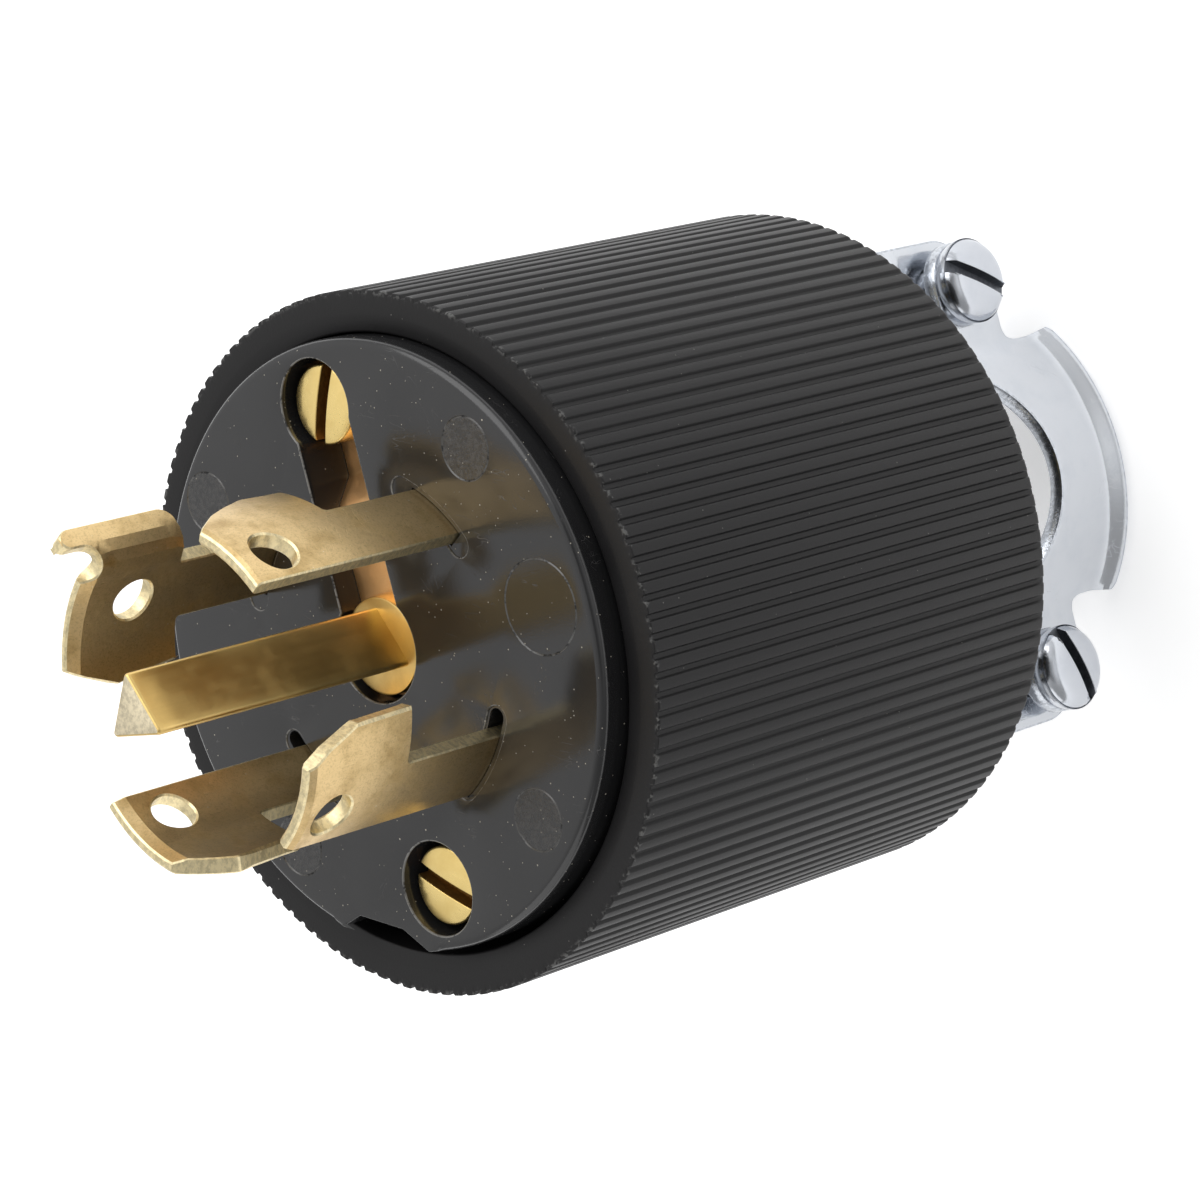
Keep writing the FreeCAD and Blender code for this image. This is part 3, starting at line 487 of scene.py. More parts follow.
class BentLine:
    """Flat line of straight runs and round bends, followed by its length.

    Along a bend of curvature k the heading grows by k times the length, and the point moves by the
    difference of the sines and cosines of the heading, over k.
    """

    def __init__(self, start, heading, runs, origin=0.0):
        self.edges = np.cumsum([0.0] + [length for length, turn in runs]) + origin
        self.curves = np.array([math.radians(turn) / length for length, turn in runs])
        points, headings = [np.array(start, dtype=float)], [math.radians(heading)]
        for (length, turn), curve in zip(runs, self.curves):
            points.append(points[-1] + self.step(headings[-1], curve, length))
            headings.append(headings[-1] + math.radians(turn))
        self.points, self.headings = np.array(points), np.array(headings)

    @staticmethod
    def step(heading, curve, length):
        """Move from a heading along a length of constant curvature."""
        flat = np.abs(curve) < SMALL
        safe = np.where(flat, 1.0, curve)
        end = heading + curve * length
        across = np.where(flat, length * np.cos(heading), (np.sin(end) - np.sin(heading)) / safe)
        up = np.where(flat, length * np.sin(heading), (np.cos(heading) - np.cos(end)) / safe)
        return np.stack([across, up], axis=-1)

    def at(self, length):
        """Points and headings at an array of lengths."""
        length = np.asarray(length, dtype=float)
        run = np.clip(np.searchsorted(self.edges, length, side="right") - 1, 0, len(self.curves) - 1)
        here = length - self.edges[run]
        heading = self.headings[run] + self.curves[run] * here
        return self.points[run] + self.step(self.headings[run], self.curves[run], here), heading


def even(bevel):
    """The same bevel, its width and drop alike, on both faces of a sheet."""
    return (bevel, bevel), (bevel, bevel)


def with_crossings(loop, level):
    """Loop with a corner added wherever an edge passes through level 0 of a function of points."""
    here = level(loop)
    after = np.roll(here, -1)
    passes = np.flatnonzero(here * after < -SMALL)
    share = here[passes] / (here[passes] - after[passes])
    points = loop[passes] + share[:, None] * (np.roll(loop, -1, axis=0) - loop)[passes]
    return np.insert(loop, passes + 1, points, axis=0)


def sheet_plate(loops, bevels, thickness, place, spread, crisp=False, tips=None):
    """Stamped plate: the loops' flat region on both sides, joined by walls with bevelled edges.

    loops is the outline and any holes, counter-clockwise. bevels has, for each loop, a (width, drop)
    for the outer and for the inner face: the width in the sheet and the drop through it, each one
    number or one for each edge of the loop. A crisp bevel is one flat facet, else it has a middle row.
    place carries (along, across, through) to the piece's own space. tips has, for the outer and the
    inner face, a TipBevel that lowers the face towards one end.
    """
    surface = Surface()
    half = thickness / 2
    shares = ((1.0, 0.0), (0.0, 1.0)) if crisp else ((1.0, 0.0), (0.3, 0.3), (0.0, 1.0))

    def lowered(side, flat):
        """How far the tip's bevel lowers one face."""
        return 0.0 if tips is None else tips[side].drop_at(flat)

    faces = {1: [], -1: []}
    for number, (loop, bevel) in enumerate(zip(loops, bevels)):
        sign = 1 if number == 0 else -1
        rows = []
        for side, (width, drop) in zip((1, -1), bevel):
            drop = np.broadcast_to(np.asarray(drop, dtype=float), (len(loop),))
            drop = (drop + np.roll(drop, 1)) / 2
            levels = []
            for inward, fall in shares:
                flat = inset(loop, sign * inward * np.asarray(width))
                levels.append(raised(flat, side * (half - fall * drop - lowered(side, flat))))
            rows += levels if side == 1 else levels[::-1]
            faces[side].append(levels[0][:, :2])
        stack = np.stack(rows)
        surface.grid(place(stack.reshape(-1, 3)).reshape(stack.shape), cut=1.0)
    for side in (1, -1):
        creases = () if tips is None else tips[side].creases(loops[0], faces[side][0])
        surface.cap(faces[side], lambda flat, side=side: place(
            raised(flat, side * (half - lowered(side, flat)))), spread, creases)
    return surface


class TipBevel:
    """Flat bevel along a blade's tip: the face drops evenly over the bevel's width towards the tip's edge.

    start and end are the tip's corners, and only points farther along than the limit are lowered.
    """
    crease_step, on_line = 0.5, 1e-6

    def __init__(self, start, end, width, drop, limit):
        along = np.array(end, dtype=float) - np.array(start, dtype=float)
        along /= np.linalg.norm(along)
        self.start, self.out = np.array(start, dtype=float), np.array([along[1], -along[0]])
        self.width, self.drop, self.limit = width, drop, limit

    def level(self, flat):
        """Distance of points beyond the line where the bevel begins."""
        return (flat - self.start) @ self.out + self.width

    def drop_at(self, flat):
        """Drop of the face at points."""
        return self.drop * np.clip(self.level(flat) / self.width, 0, 1) * (flat[:, 0] > self.limit)

    def creases(self, outline, face):
        """The bevel's inner line, between the two corners of the face's loop that lie on it."""
        near = np.abs(self.level(outline)) < self.on_line
        ends = np.flatnonzero(near & (outline[:, 0] > self.limit))
        first, last = face[ends[0]], face[ends[-1]]
        count = max(int(np.linalg.norm(last - first) / self.crease_step), 2)
        return [first + (last - first) * np.linspace(0, 1, count)[:, None]]


def turned_surface(profile, count):
    """Surface of revolution from (radius, height) points about an upright axis."""
    surface = Surface()
    profile = np.array(profile, dtype=float)
    surface.grid(raised(on_circle(profile[:, 0:1], even_turns(count)), profile[:, 1:2]))
    return surface


def threaded_shank(radius, bottom, top, plain=0.0):
    """Screw shank: radius less the depth of a wave that climbs one pitch a turn, fading out at both ends."""
    surface = Surface()
    rows = int((top - plain - bottom) / THREAD_PITCH * THREAD_ROWS) + 2
    heights = np.append(np.linspace(bottom, top - plain, rows), top)
    turn = even_turns(32)
    phase = heights[:, None] / THREAD_PITCH - turn / (2 * math.pi)
    wave = np.abs((phase % 1.0) * 2 - 1)
    groove = THREAD_DEPTH * np.clip(1.25 * wave - 0.12, 0, 1)
    tip = np.clip((heights - bottom) / THREAD_TIP, 0, 1)[:, None]
    neck = np.clip((top - plain - heights) / THREAD_NECK, 0, 1)[:, None]
    reach = radius - np.maximum(groove * neck, THREAD_TAPER * (1 - tip))
    points = raised(on_circle(reach, turn), heights[:, None])
    surface.grid(points)
    surface.cap([points[0, :, :2]], at_height(bottom))
    surface.cap([points[-1, :, :2]], at_height(top))
    return surface


def shell_mesh(name, surface, move):
    """Closed mesh of one surface: doubles merged, slivers closed and faces turned outwards."""
    points = move(np.concatenate(surface.points)) * MM
    sizes = np.concatenate([np.full(len(faces), faces.shape[1]) for faces in surface.faces])
    corners = np.concatenate([faces.reshape(-1) for faces in surface.faces]).astype(np.int32)
    mesh = bpy.data.meshes.new(name)
    mesh.vertices.add(len(points))
    mesh.vertices.foreach_set("co", points.astype(np.float32).reshape(-1))
    mesh.loops.add(len(corners))
    mesh.loops.foreach_set("vertex_index", corners)
    mesh.polygons.add(len(sizes))
    starts = np.concatenate([[0], np.cumsum(sizes)[:-1]]).astype(np.int32)
    mesh.polygons.foreach_set("loop_start", starts)
    mesh.update(calc_edges=True)
    cut = mesh.attributes.new("cut_edge_and_painted_light", "FLOAT", "FACE")
    cut.data.foreach_set("value", np.concatenate(surface.cuts).astype(np.float32))
    mesh.validate()
    work = bmesh.new()
    work.from_mesh(mesh)
    bmesh.ops.remove_doubles(work, verts=work.verts, dist=MERGE)
    bmesh.ops.dissolve_degenerate(work, edges=work.edges, dist=MERGE / 4)
    bmesh.ops.holes_fill(work, edges=work.edges, sides=6)
    bmesh.ops.recalc_face_normals(work, faces=work.faces)
    if work.calc_volume(signed=True) < 0:
        bmesh.ops.reverse_faces(work, faces=work.faces)
    work.to_mesh(mesh)
    work.free()
    return mesh


def add_object(name, data):
    """New object with its data, put into the scene."""
    item = bpy.data.objects.new(name, data)
    bpy.context.scene.collection.objects.link(item)
    return item


def make_piece(name, shells, material, node, shift=(0.0, BODY_Y, 0.0), sharp=38.0, turn=None):
    """One object from its closed surfaces, smooth below the sharp angle, handed to the frame."""
    def move(points):
        """Points turned and shifted to their place."""
        return (points if turn is None else turn(points)) + np.array(shift)

    work = bmesh.new()
    for surface in shells:
        shell = shell_mesh(name + "_shell", surface, move)
        work.from_mesh(shell)
        bpy.data.meshes.remove(shell)
    mesh = bpy.data.meshes.new(name)
    work.to_mesh(mesh)
    work.free()
    mesh.polygons.foreach_set("use_smooth", np.ones(len(mesh.polygons), dtype=bool))
    mesh.set_sharp_from_angle(angle=math.radians(sharp))
    mesh.materials.append(material)
    piece = add_object(name, mesh)
    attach(piece, "root")
    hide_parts(node)


# Materials

def operator(operation, reflected=False):
    """Method for an operator: it adds a Math node, with its two inputs exchanged where it is reflected."""
    def method(self, other):
        """Math node of this value and another."""
        return self.shader.math(operation, *((other, self) if reflected else (self, other)))
    return method


class Value:
    """Output of a node. Sums, products and powers of values add Math nodes."""

    __add__, __radd__ = operator("ADD"), operator("ADD", True)
    __sub__, __rsub__ = operator("SUBTRACT"), operator("SUBTRACT", True)
    __mul__, __rmul__ = operator("MULTIPLY"), operator("MULTIPLY", True)
    __truediv__ = operator("DIVIDE")
    __pow__ = operator("POWER")

    def __init__(self, shader, socket):
        self.shader = shader
        self.socket = socket

    def math(self, operation, *others):
        """Math node with this value first."""
        return self.shader.math(operation, self, *others)

    def step(self, start, end):
        """0 below start, 1 above end, and smooth between."""
        return self.shader.node("ShaderNodeMapRange", {"interpolation_type": "SMOOTHSTEP"},
                                {"Value": self, "From Min": start, "From Max": end})


class NodeTree:
    """Nodes of a material or of the surroundings."""

    def __init__(self, tree):
        self.tree = tree

    def put(self, socket, value):
        """Link or plain value for a socket."""
        if isinstance(value, Value):
            self.tree.links.new(value.socket, socket)
        elif isinstance(value, (tuple, list)) and socket.type == "RGBA" and len(value) == 3:
            socket.default_value = (*value, 1.0)
        else:
            socket.default_value = value

    def node(self, kind, settings=None, sockets=None, output=0):
        """New node: its settings first, then its sockets, and one of its outputs."""
        node = self.tree.nodes.new(kind)
        for key, value in (settings or {}).items():
            setattr(node, key, value)
        for key, value in (sockets or {}).items():
            self.put(node.inputs[key], value)
        return Value(self, node.outputs[output])

    def math(self, operation, *values):
        """Math node."""
        return self.node("ShaderNodeMath", {"operation": operation}, dict(enumerate(values)))

    def vector_math(self, operation, *values, output=0):
        """Vector Math node."""
        settings = {"operation": operation}
        return self.node("ShaderNodeVectorMath", settings, dict(enumerate(values)), output)

    def mix(self, share, first, second):
        """Colour between two colours."""
        node = self.tree.nodes.new("ShaderNodeMix")
        node.data_type = "RGBA"
        self.put(node.inputs[0], share)
        self.put(node.inputs[6], first)
        self.put(node.inputs[7], second)
        return Value(self, node.outputs[2])


class Shader(NodeTree):
    """Node tree of one material, with a principled surface."""

    def __init__(self, name, **settings):
        self.material = bpy.data.materials.new(name)
        self.material.use_nodes = True
        super().__init__(self.material.node_tree)
        self.tree.nodes.clear()
        self.surface = self.tree.nodes.new("ShaderNodeBsdfPrincipled")
        output = self.tree.nodes.new("ShaderNodeOutputMaterial")
        self.tree.links.new(self.surface.outputs[0], output.inputs["Surface"])
        for key, value in settings.items():
            self.surface.inputs[key.replace("_", " ")].default_value = value

    def place(self):
        """Object coordinates in metres."""
        return self.node("ShaderNodeTexCoord", output="Object")

    def stretched(self, across=1.0, up=1.0):
        """Object coordinates in millimetres, scaled by one number across and by another upwards."""
        return self.vector_math("MULTIPLY", self.place(), (across / MM, across / MM, up / MM))

    def cut_edge_and_painted_light(self):
        """How far a face takes its material's edge colour, from 0 to 1: cut metal, and also painted slot
        shade on the screws and a painted highlight on the disc.
        """
        return self.node("ShaderNodeAttribute", {"attribute_name": "cut_edge_and_painted_light"}, output=2)

    def noise(self, vector, scale=1.0, detail=3.0, rough=0.5):
        """Noise between 0 and 1, its scale in waves a unit of the vector."""
        return self.node("ShaderNodeTexNoise", {}, {
            "Vector": vector, "Scale": scale, "Detail": detail, "Roughness": rough})

    def specks(self, vector, scale, radius, share, seed):
        """Scattered round spots: near the points of a cell pattern, in a share of its cells."""
        moved = self.vector_math("ADD", vector, (seed, seed * 1.7, seed * 0.6))
        cells = self.tree.nodes.new("ShaderNodeTexVoronoi")
        self.put(cells.inputs["Vector"], moved)
        self.put(cells.inputs["Scale"], scale)
        near = 1 - Value(self, cells.outputs["Distance"]).step(radius * scale * 0.5, radius * scale)
        colour = Value(self, cells.outputs["Color"])
        pick = self.node("ShaderNodeSeparateColor", {}, {"Color": colour})
        return near * pick.math("LESS_THAN", share)

    def scratches(self, vector, turn, scale, width, share, length=9.0):
        """Fine straight lines one way: the middle of a drawn noise's waves, where a wide noise allows."""
        turned = self.node("ShaderNodeVectorRotate", {"rotation_type": "Z_AXIS"},
                           {"Vector": vector, "Angle": math.radians(turn)})
        drawn = self.vector_math("MULTIPLY", turned, (1.0 / length, 1.0, 1.0))
        wave = self.noise(drawn, scale, 1.0)
        line = 1 - (wave - 0.5).math("ABSOLUTE").step(width * 0.3, width)
        where = self.noise(turned, scale * 0.21, 2.0)
        return line * where.step(1 - share - 0.04, 1 - share + 0.04)

    def bump(self, height, distance):
        """Height, in units of a distance in millimetres, into the surface's normal."""
        normal = self.node("ShaderNodeBump", {}, {
            "Height": height, "Distance": distance * MM, "Strength": 1.0})
        self.put(self.surface.inputs["Normal"], normal)

    def finish(self, **sockets):
        """What changes over the surface."""
        for key, value in sockets.items():
            self.put(self.surface.inputs[key.replace("_", " ")], value)
        return self.material


def height_of(shader):
    """Height of a point in millimetres."""
    return shader.node("ShaderNodeSeparateXYZ", {}, {"Vector": shader.place()}, output=2) / MM


def distance_to(shader, x, y):
    """Distance of a point from an upright axis, in millimetres."""
    level = shader.vector_math("MULTIPLY", shader.place(), (1 / MM, 1 / MM, 0.0))
    return shader.vector_math("DISTANCE", level, (x, y + BODY_Y, 0.0), output="Value")


def sleeve_plastic():
    """Black moulded plastic: grained lands, rubbed front corners and a little pale dust."""
    shader = Shader("sleeve_plastic", IOR=1.5, Specular_IOR_Level=0.27)
    even_place = shader.stretched()
    fine = shader.noise(even_place, 5.0, 4.0, 0.6)
    coarse = shader.noise(shader.stretched(0.25, 0.06), 1.0, 3.0)
    rim = height_of(shader).step(SLEEVE_FRONT - 0.45, SLEEVE_FRONT - 0.05)
    corner = rim * distance_to(shader, 0.0, -BODY_Y).step(SLEEVE_RADIUS - 0.55, SLEEVE_RADIUS - 0.1)
    chips = corner * shader.noise(even_place, 2.2, 3.0).step(0.52, 0.66)
    dust = shader.specks(even_place, 0.9, 0.07, 0.35, 3.0)
    base = shader.mix(coarse, (0.0060, 0.0056, 0.0060), (0.0105, 0.0100, 0.0105))
    base = shader.mix(chips * 0.55, base, (0.16, 0.16, 0.155))
    base = shader.mix(dust * 0.5, base, (0.30, 0.29, 0.27))
    rough = 0.36 + coarse * 0.14 + fine * 0.06
    shader.bump(fine + chips * 1.5, 0.012)
    return shader.finish(Base_Color=base, Roughness=rough)


def disc_plastic():
    """Satin black moulding: dust, fine scratches, rough round marks, and a painted highlight along the mouths
    of its recesses and on the marks' rings.
    """
    shader = Shader("disc_plastic", IOR=1.52)
    even_place = shader.stretched()
    cloud = shader.noise(even_place, 0.16, 3.0)
    fine = shader.noise(even_place, 6.0, 3.0, 0.6)
    dust = sum(shader.specks(even_place, *spots) for spots in (
        (1.7, 0.065, 0.34, 1.0), (1.1, 0.08, 0.30, 4.0), (0.6, 0.11, 0.25, 8.0)))
    lines = sum(shader.scratches(even_place, *strokes) for strokes in (
        (20.0, 1.4, 0.010, 0.34, 4.0), (74.0, 1.2, 0.009, 0.32, 5.0), (131.0, 1.6, 0.009, 0.30, 4.0)))
    marks = sum(1 - distance_to(shader, x, y).step(MARK_RADIUS - 0.15, MARK_RADIUS) for x, y in MARK_PLACES)
    rough_mark = marks * shader.noise(even_place, 2.6, 4.0, 0.75).step(0.36, 0.68)
    base = shader.mix(cloud, (0.012, 0.012, 0.0125), (0.019, 0.019, 0.020))
    base = shader.mix(rough_mark * 0.55, base, (0.070, 0.067, 0.064))
    base = shader.mix(lines * 0.25, base, (0.16, 0.155, 0.15))
    # Painted highlight: a broken pale line on the faces marked as edges, the recess mouths and the marks'
    # ring grooves.
    painted_edge_highlight = shader.cut_edge_and_painted_light() * shader.noise(even_place, 1.3, 3.0, 0.7).step(0.36, 0.52)
    base = shader.mix(painted_edge_highlight * 0.8, base, (0.21, 0.205, 0.195))
    base = shader.mix(dust * 0.85, base, (0.50, 0.46, 0.38))
    rough = 0.10 + cloud * 0.06 + rough_mark * 0.25 + dust * 0.3 + fine * 0.02
    shader.bump(fine * 0.3 + rough_mark * 1.2 - lines * 0.6 + dust * 1.2, 0.02)
    return shader.finish(Base_Color=base, Roughness=rough)


def metal(name, colour, dull, rough, cut, cut_rough=0.4, grain=(3.0, 0.5), grain_height=0.006, spots=0.4,
          pebbles=0.0, pitted=0.0, dusty=0.0):
    """Bare metal: drawn grain, clouds of tarnish, a few fine scratches and coarser cut edges.

    colour, dull and cut are the clean, the tarnished and the cut metal; a dark cut, as on the screws,
    is painted shade on the walls and floors of their slots. rough and cut_rough are its roughness,
    and grain the waves of the drawn grain across and along. spots, pebbles, pitted and dusty say how
    much there is of tarnish, soft unevenness, dark pits and pale dust.
    """
    shader = Shader(name, Metallic=1.0)
    even_place = shader.stretched()
    drawn = shader.noise(shader.stretched(*grain), 2.0, 3.0, 0.6)
    fine = shader.noise(even_place, 4.0, 3.0, 0.6)
    lines = shader.scratches(even_place, 30.0, 1.4, 0.012, 0.4)
    tarnish = shader.noise(even_place, 0.35, 4.0, 0.6).step(0.42, 0.72)
    base = shader.mix(tarnish * spots + drawn * 0.3, colour, dull)
    if pitted:
        pits = shader.noise(even_place, 5.0, 2.0, 0.8).step(0.48, 0.68)
        base = shader.mix(pits * pitted, base, tuple(0.45 * part for part in dull))
    level = rough * 0.7 + drawn * rough * 0.45 + tarnish * rough * 0.35 + fine * rough * 0.2
    height = drawn + fine * 0.5 - lines * 0.8
    if pebbles:
        height = height + shader.noise(even_place, 1.9, 1.0) * pebbles
    # Faces marked as edges take the cut colour: sheared metal on sheets, blades and the pin's end, and on the
    # screws painted shade in their slots.
    edge = shader.cut_edge_and_painted_light()
    sheared = shader.noise(shader.stretched(1.2, 2.6), 1.4, 3.0, 0.7)
    cut_colour = shader.mix(sheared.step(0.36, 0.62), tuple(0.72 * part for part in cut), cut)
    base = shader.mix(edge, base, cut_colour)
    level = level + edge * (cut_rough + sheared * 0.12 - level)
    height = height + edge * (sheared * 4.0 - height)
    if dusty:
        small = shader.specks(even_place, 1.5, 0.06, 0.30, 2.0)
        dust = (small + shader.specks(even_place, 0.8, 0.09, 0.25, 5.0)) * dusty
        base = shader.mix(dust, base, (0.80, 0.74, 0.60))
        level = level + dust * 0.3
    if grain_height:
        shader.bump(height, grain_height)
    return shader.finish(Base_Color=base, Roughness=level)


def carrier_plastic():
    """Dull dark moulding behind the disc."""
    shader = Shader("carrier_plastic")
    fine = shader.noise(shader.stretched(), 3.0, 3.0)
    base = shader.mix(fine, (0.020, 0.020, 0.020), (0.032, 0.032, 0.032))
    return shader.finish(Base_Color=base, Roughness=0.42 + fine * 0.15)


SLEEVE_PLASTIC = sleeve_plastic()
DISC_PLASTIC = disc_plastic()
BLADE_BRASS = metal("blade_brass", (0.73, 0.54, 0.275), (0.40, 0.27, 0.105), 0.30, (0.86, 0.73, 0.44), 0.34,
                    grain=(5.0, 0.4), spots=0.58, pebbles=1.4, pitted=0.28, dusty=0.7)
PIN_BRASS = metal("pin_brass", (0.74, 0.53, 0.20), (0.46, 0.31, 0.11), 0.30, (0.84, 0.74, 0.53), 0.42,
                  grain=(1.1, 0.02), grain_height=0.0, spots=0.2)
# Brass screws: their dark cut colour is painted shade on the walls and floor of the head's slot.
SCREW_BRASS = metal("screw_brass", (0.86, 0.66, 0.27), (0.72, 0.52, 0.18), 0.26, (0.30, 0.17, 0.05), 0.5)
STRAP_COPPER = metal("strap_copper", (0.93, 0.56, 0.25), (0.74, 0.42, 0.18), 0.42, (0.90, 0.60, 0.34))
PLATED_STEEL = metal("plated_steel", (0.61, 0.63, 0.665), (0.54, 0.57, 0.615), 0.15, (0.58, 0.61, 0.66), 0.2)
# Plated screws: their dark cut colour, too, is painted shade in the head's slot.
PLATED_SCREW = metal("plated_screw", (0.58, 0.60, 0.64), (0.48, 0.51, 0.56), 0.17, (0.16, 0.17, 0.19),
                     spots=0.3)
CARRIER_PLASTIC = carrier_plastic()


# Pieces

def ribbed_sleeve():
    """Sleeve: the columns follow the ribs' profile, a land, a wall, a floor and a wall to a pitch.

    share is where a pitch's columns stand, and depth how much of the ribs' depth each takes.

    The radius is the smaller of that profile and a quarter round at the rear end. At the front the
    ribs' ends are rounded, and more in a few places. Then come the flat front band, the sloped inner
    band, the bore and the rear wall with its cord opening and two screw holes.
    """
    surface = Surface()
    share = np.array([0.0, 0.235, 0.27, 0.295, 0.355, 0.385, 0.5, 0.615, 0.645, 0.705, 0.73, 0.765])
    depth = np.tile([0.0, 0.0, 0.06, 0.25, 0.82, 1.0, 1.0, 1.0, 0.82, 0.25, 0.06, 0.0], RIB_COUNT)
    turn = ((np.arange(RIB_COUNT)[:, None] + share) / RIB_COUNT * 2 * math.pi).reshape(-1)
    ribs = SLEEVE_RADIUS - RIB_DEPTH * depth

    def ring(radius, height):
        """Row of points at a radius and a height for each column."""
        return raised(on_circle(radius, turn), height)

    rows = []
    for up, outward in quarter_turn(5):
        envelope = SLEEVE_RADIUS - REAR_ROUND * outward
        rows.append(ring(np.minimum(ribs, envelope), SLEEVE_REAR + REAR_ROUND * up))
    random = np.random.default_rng(11)
    wear = np.repeat(random.random(RIB_COUNT) ** 4 * FRONT_WEAR, len(share)) * (1 - depth)
    rounding = FRONT_ROUND + wear
    rows += [ring(ribs - rounding * inward, SLEEVE_FRONT - rounding * down)
             for inward, down in quarter_turn(4)]
    bore_floor = SLEEVE_REAR + REAR_WALL
    band_foot = SLEEVE_FRONT - FRONT_BAND_DROP
    rows += [ring(radius, height) for radius, height in (
        (FRONT_LAND, SLEEVE_FRONT), (FRONT_BAND + 0.12, SLEEVE_FRONT),
        (FRONT_BAND - 0.1, SLEEVE_FRONT - 0.03), (SLEEVE_BORE + 0.2, band_foot + 0.03),
        (SLEEVE_BORE + 0.05, band_foot - 0.03), (SLEEVE_BORE, band_foot - 0.15), (SLEEVE_BORE, bore_floor))]
    surface.grid(np.stack(rows))
    opening = circle(CORD_OPENING + OPENING_CHAMFER, count=120)
    surface.grid(rings(opening, [(0.0, SLEEVE_REAR), (OPENING_CHAMFER, SLEEVE_REAR + OPENING_CHAMFER),
                                 (OPENING_CHAMFER, bore_floor)]))
    holes = [circle(CLEARANCE, (0.0, side * SCREW_REACH + BODY_Y), HOLE_STEPS) for side in (1, -1)]
    for hole in holes:
        surface.bore(hole, SLEEVE_REAR, bore_floor)
    surface.cap([rows[0][:, :2], opening] + holes, at_height(SLEEVE_REAR))
    surface.cap([rows[-1][:, :2], inset(opening, OPENING_CHAMFER)] + holes, at_height(bore_floor))
    make_piece("ribbed_sleeve", [surface], SLEEVE_PLASTIC, "outer_sleeve",
               shift=(0.0, 0.0, 0.0), sharp=50.0)


def slot_loop(angle):
    """Loop of a curved slot: outer arc, round end, inner arc, round end."""
    inner, outer = SLOT_RADII
    middle, end = (inner + outer) / 2, (outer - inner) / 2
    half = SLOT_HALF_ANGLE - math.degrees(end / middle)
    ends = []
    for side, first in ((1, half), (-1, 180.0 - half)):
        centre = at_angles(middle, side * half)[0]
        ends.append(arc_points(end, first, first + 180.0, 13, centre)[1:-1])
    loop = np.concatenate([arc_points(outer, -half, half, 21), ends[0],
                           arc_points(inner, half, -half, 21), ends[1]])
    return turn_degrees(loop, angle)


def blade_opening(index):
    """Loop of the opening round a blade: two arcs a hair off its faces, which run on past an open end."""
    inner = BLADE_MIDDLE - BLADE_THICKNESS / 2 - OPENING_GAP
    outer = BLADE_MIDDLE + BLADE_THICKNESS / 2 + OPENING_GAP
    low_side = TAB_SIDE if index == TABBED_BLADE else BLADE_CORNERS[index][-1][0]
    ends = [low_side - SLOT_GAP, BLADE_CORNERS[index][0][0] + SLOT_GAP]
    side = OPEN_SLOT_ENDS.get(index, 0)
    if side < 0:
        ends[0] = -SLOT_HALF_ANGLE + OPEN_END_GAP
    if side > 0:
        ends[1] = SLOT_HALF_ANGLE - OPEN_END_GAP
    first, last = ends
    corners = np.concatenate([arc_points(outer, first, last, 25), arc_points(inner, last, first, 25)])
    return corners if side == 0 else with_round_end(corners, side)


def with_round_end(corners, side):
    """Loop of two arcs with a round end: a half circle takes the place of the last two steps of each."""
    count = len(corners) // 2
    middle = count - 1 if side > 0 else 2 * count - 1
    loop = np.roll(corners, -middle - 1, axis=0)
    start, end = loop[-3], loop[2]
    centre, arm = (start + end) / 2, (start - end) / 2
    swing = np.linspace(0, math.pi, 9)
    out = np.array([-arm[1], arm[0]])
    bow = centre + np.cos(swing)[:, None] * arm + np.sin(swing)[:, None] * out
    return np.concatenate([loop[2:-2], bow[1:-1]])


def strap_middle():
    """Middle line of the strap in (distance from the pin, height)."""
    near = FACE - STRAP_DEPTH_AT_PIN - STRAP_THICKNESS / 2
    far = FACE - STRAP_DEPTH_AT_SCREW - STRAP_THICKNESS / 2
    start, end = STRAP_JOGGLE
    slope = math.degrees(math.atan2(far - near, end - start))
    reach = STRAP_BEND * math.tan(math.radians(-slope) / 2)
    arc = STRAP_BEND * math.radians(-slope)
    run = math.hypot(far - near, end - start) - 2 * reach
    return BentLine((STRAP_START, near), 0.0, [
        (-STRAP_START + start - reach, 0.0), (arc, slope), (run, 0.0), (arc, -slope), (40.0, 0.0),
    ], origin=STRAP_START)


STRAP_LINE = strap_middle()
STRAP_LENGTHS = np.linspace(STRAP_START, STRAP_END, STRAP_STEPS)
STRAP_SAMPLES = STRAP_LINE.at(STRAP_LENGTHS)[0]


def strap_height(along):
    """Height of the strap's middle at a distance from the pin."""
    return np.interp(along, STRAP_SAMPLES[:, 0], STRAP_SAMPLES[:, 1])


def under_strap(flat):
    """Flat points put on the strap's rear face, which is also its channel's floor."""
    return raised(flat, strap_height(flat[:, 1]) - STRAP_THICKNESS / 2)


def eyes_loop(pin_radius, screw_radius, reach):
    """Loop of an arc round the pin and an arc round the screw that lies at the reach.

    Both end on the strap's two sides, which the loop's straight edges then follow.
    """
    left, right = STRAP_SIDES
    pin_part = arc_points(pin_radius, side_angle(left, pin_radius), side_angle(right, pin_radius) + 360.0, 49)
    screw_part = arc_points(screw_radius, -side_angle(right, screw_radius),
                            360.0 - side_angle(left, screw_radius), 49, (0.0, reach))
    return refined(np.concatenate([pin_part, screw_part]), 0.5)


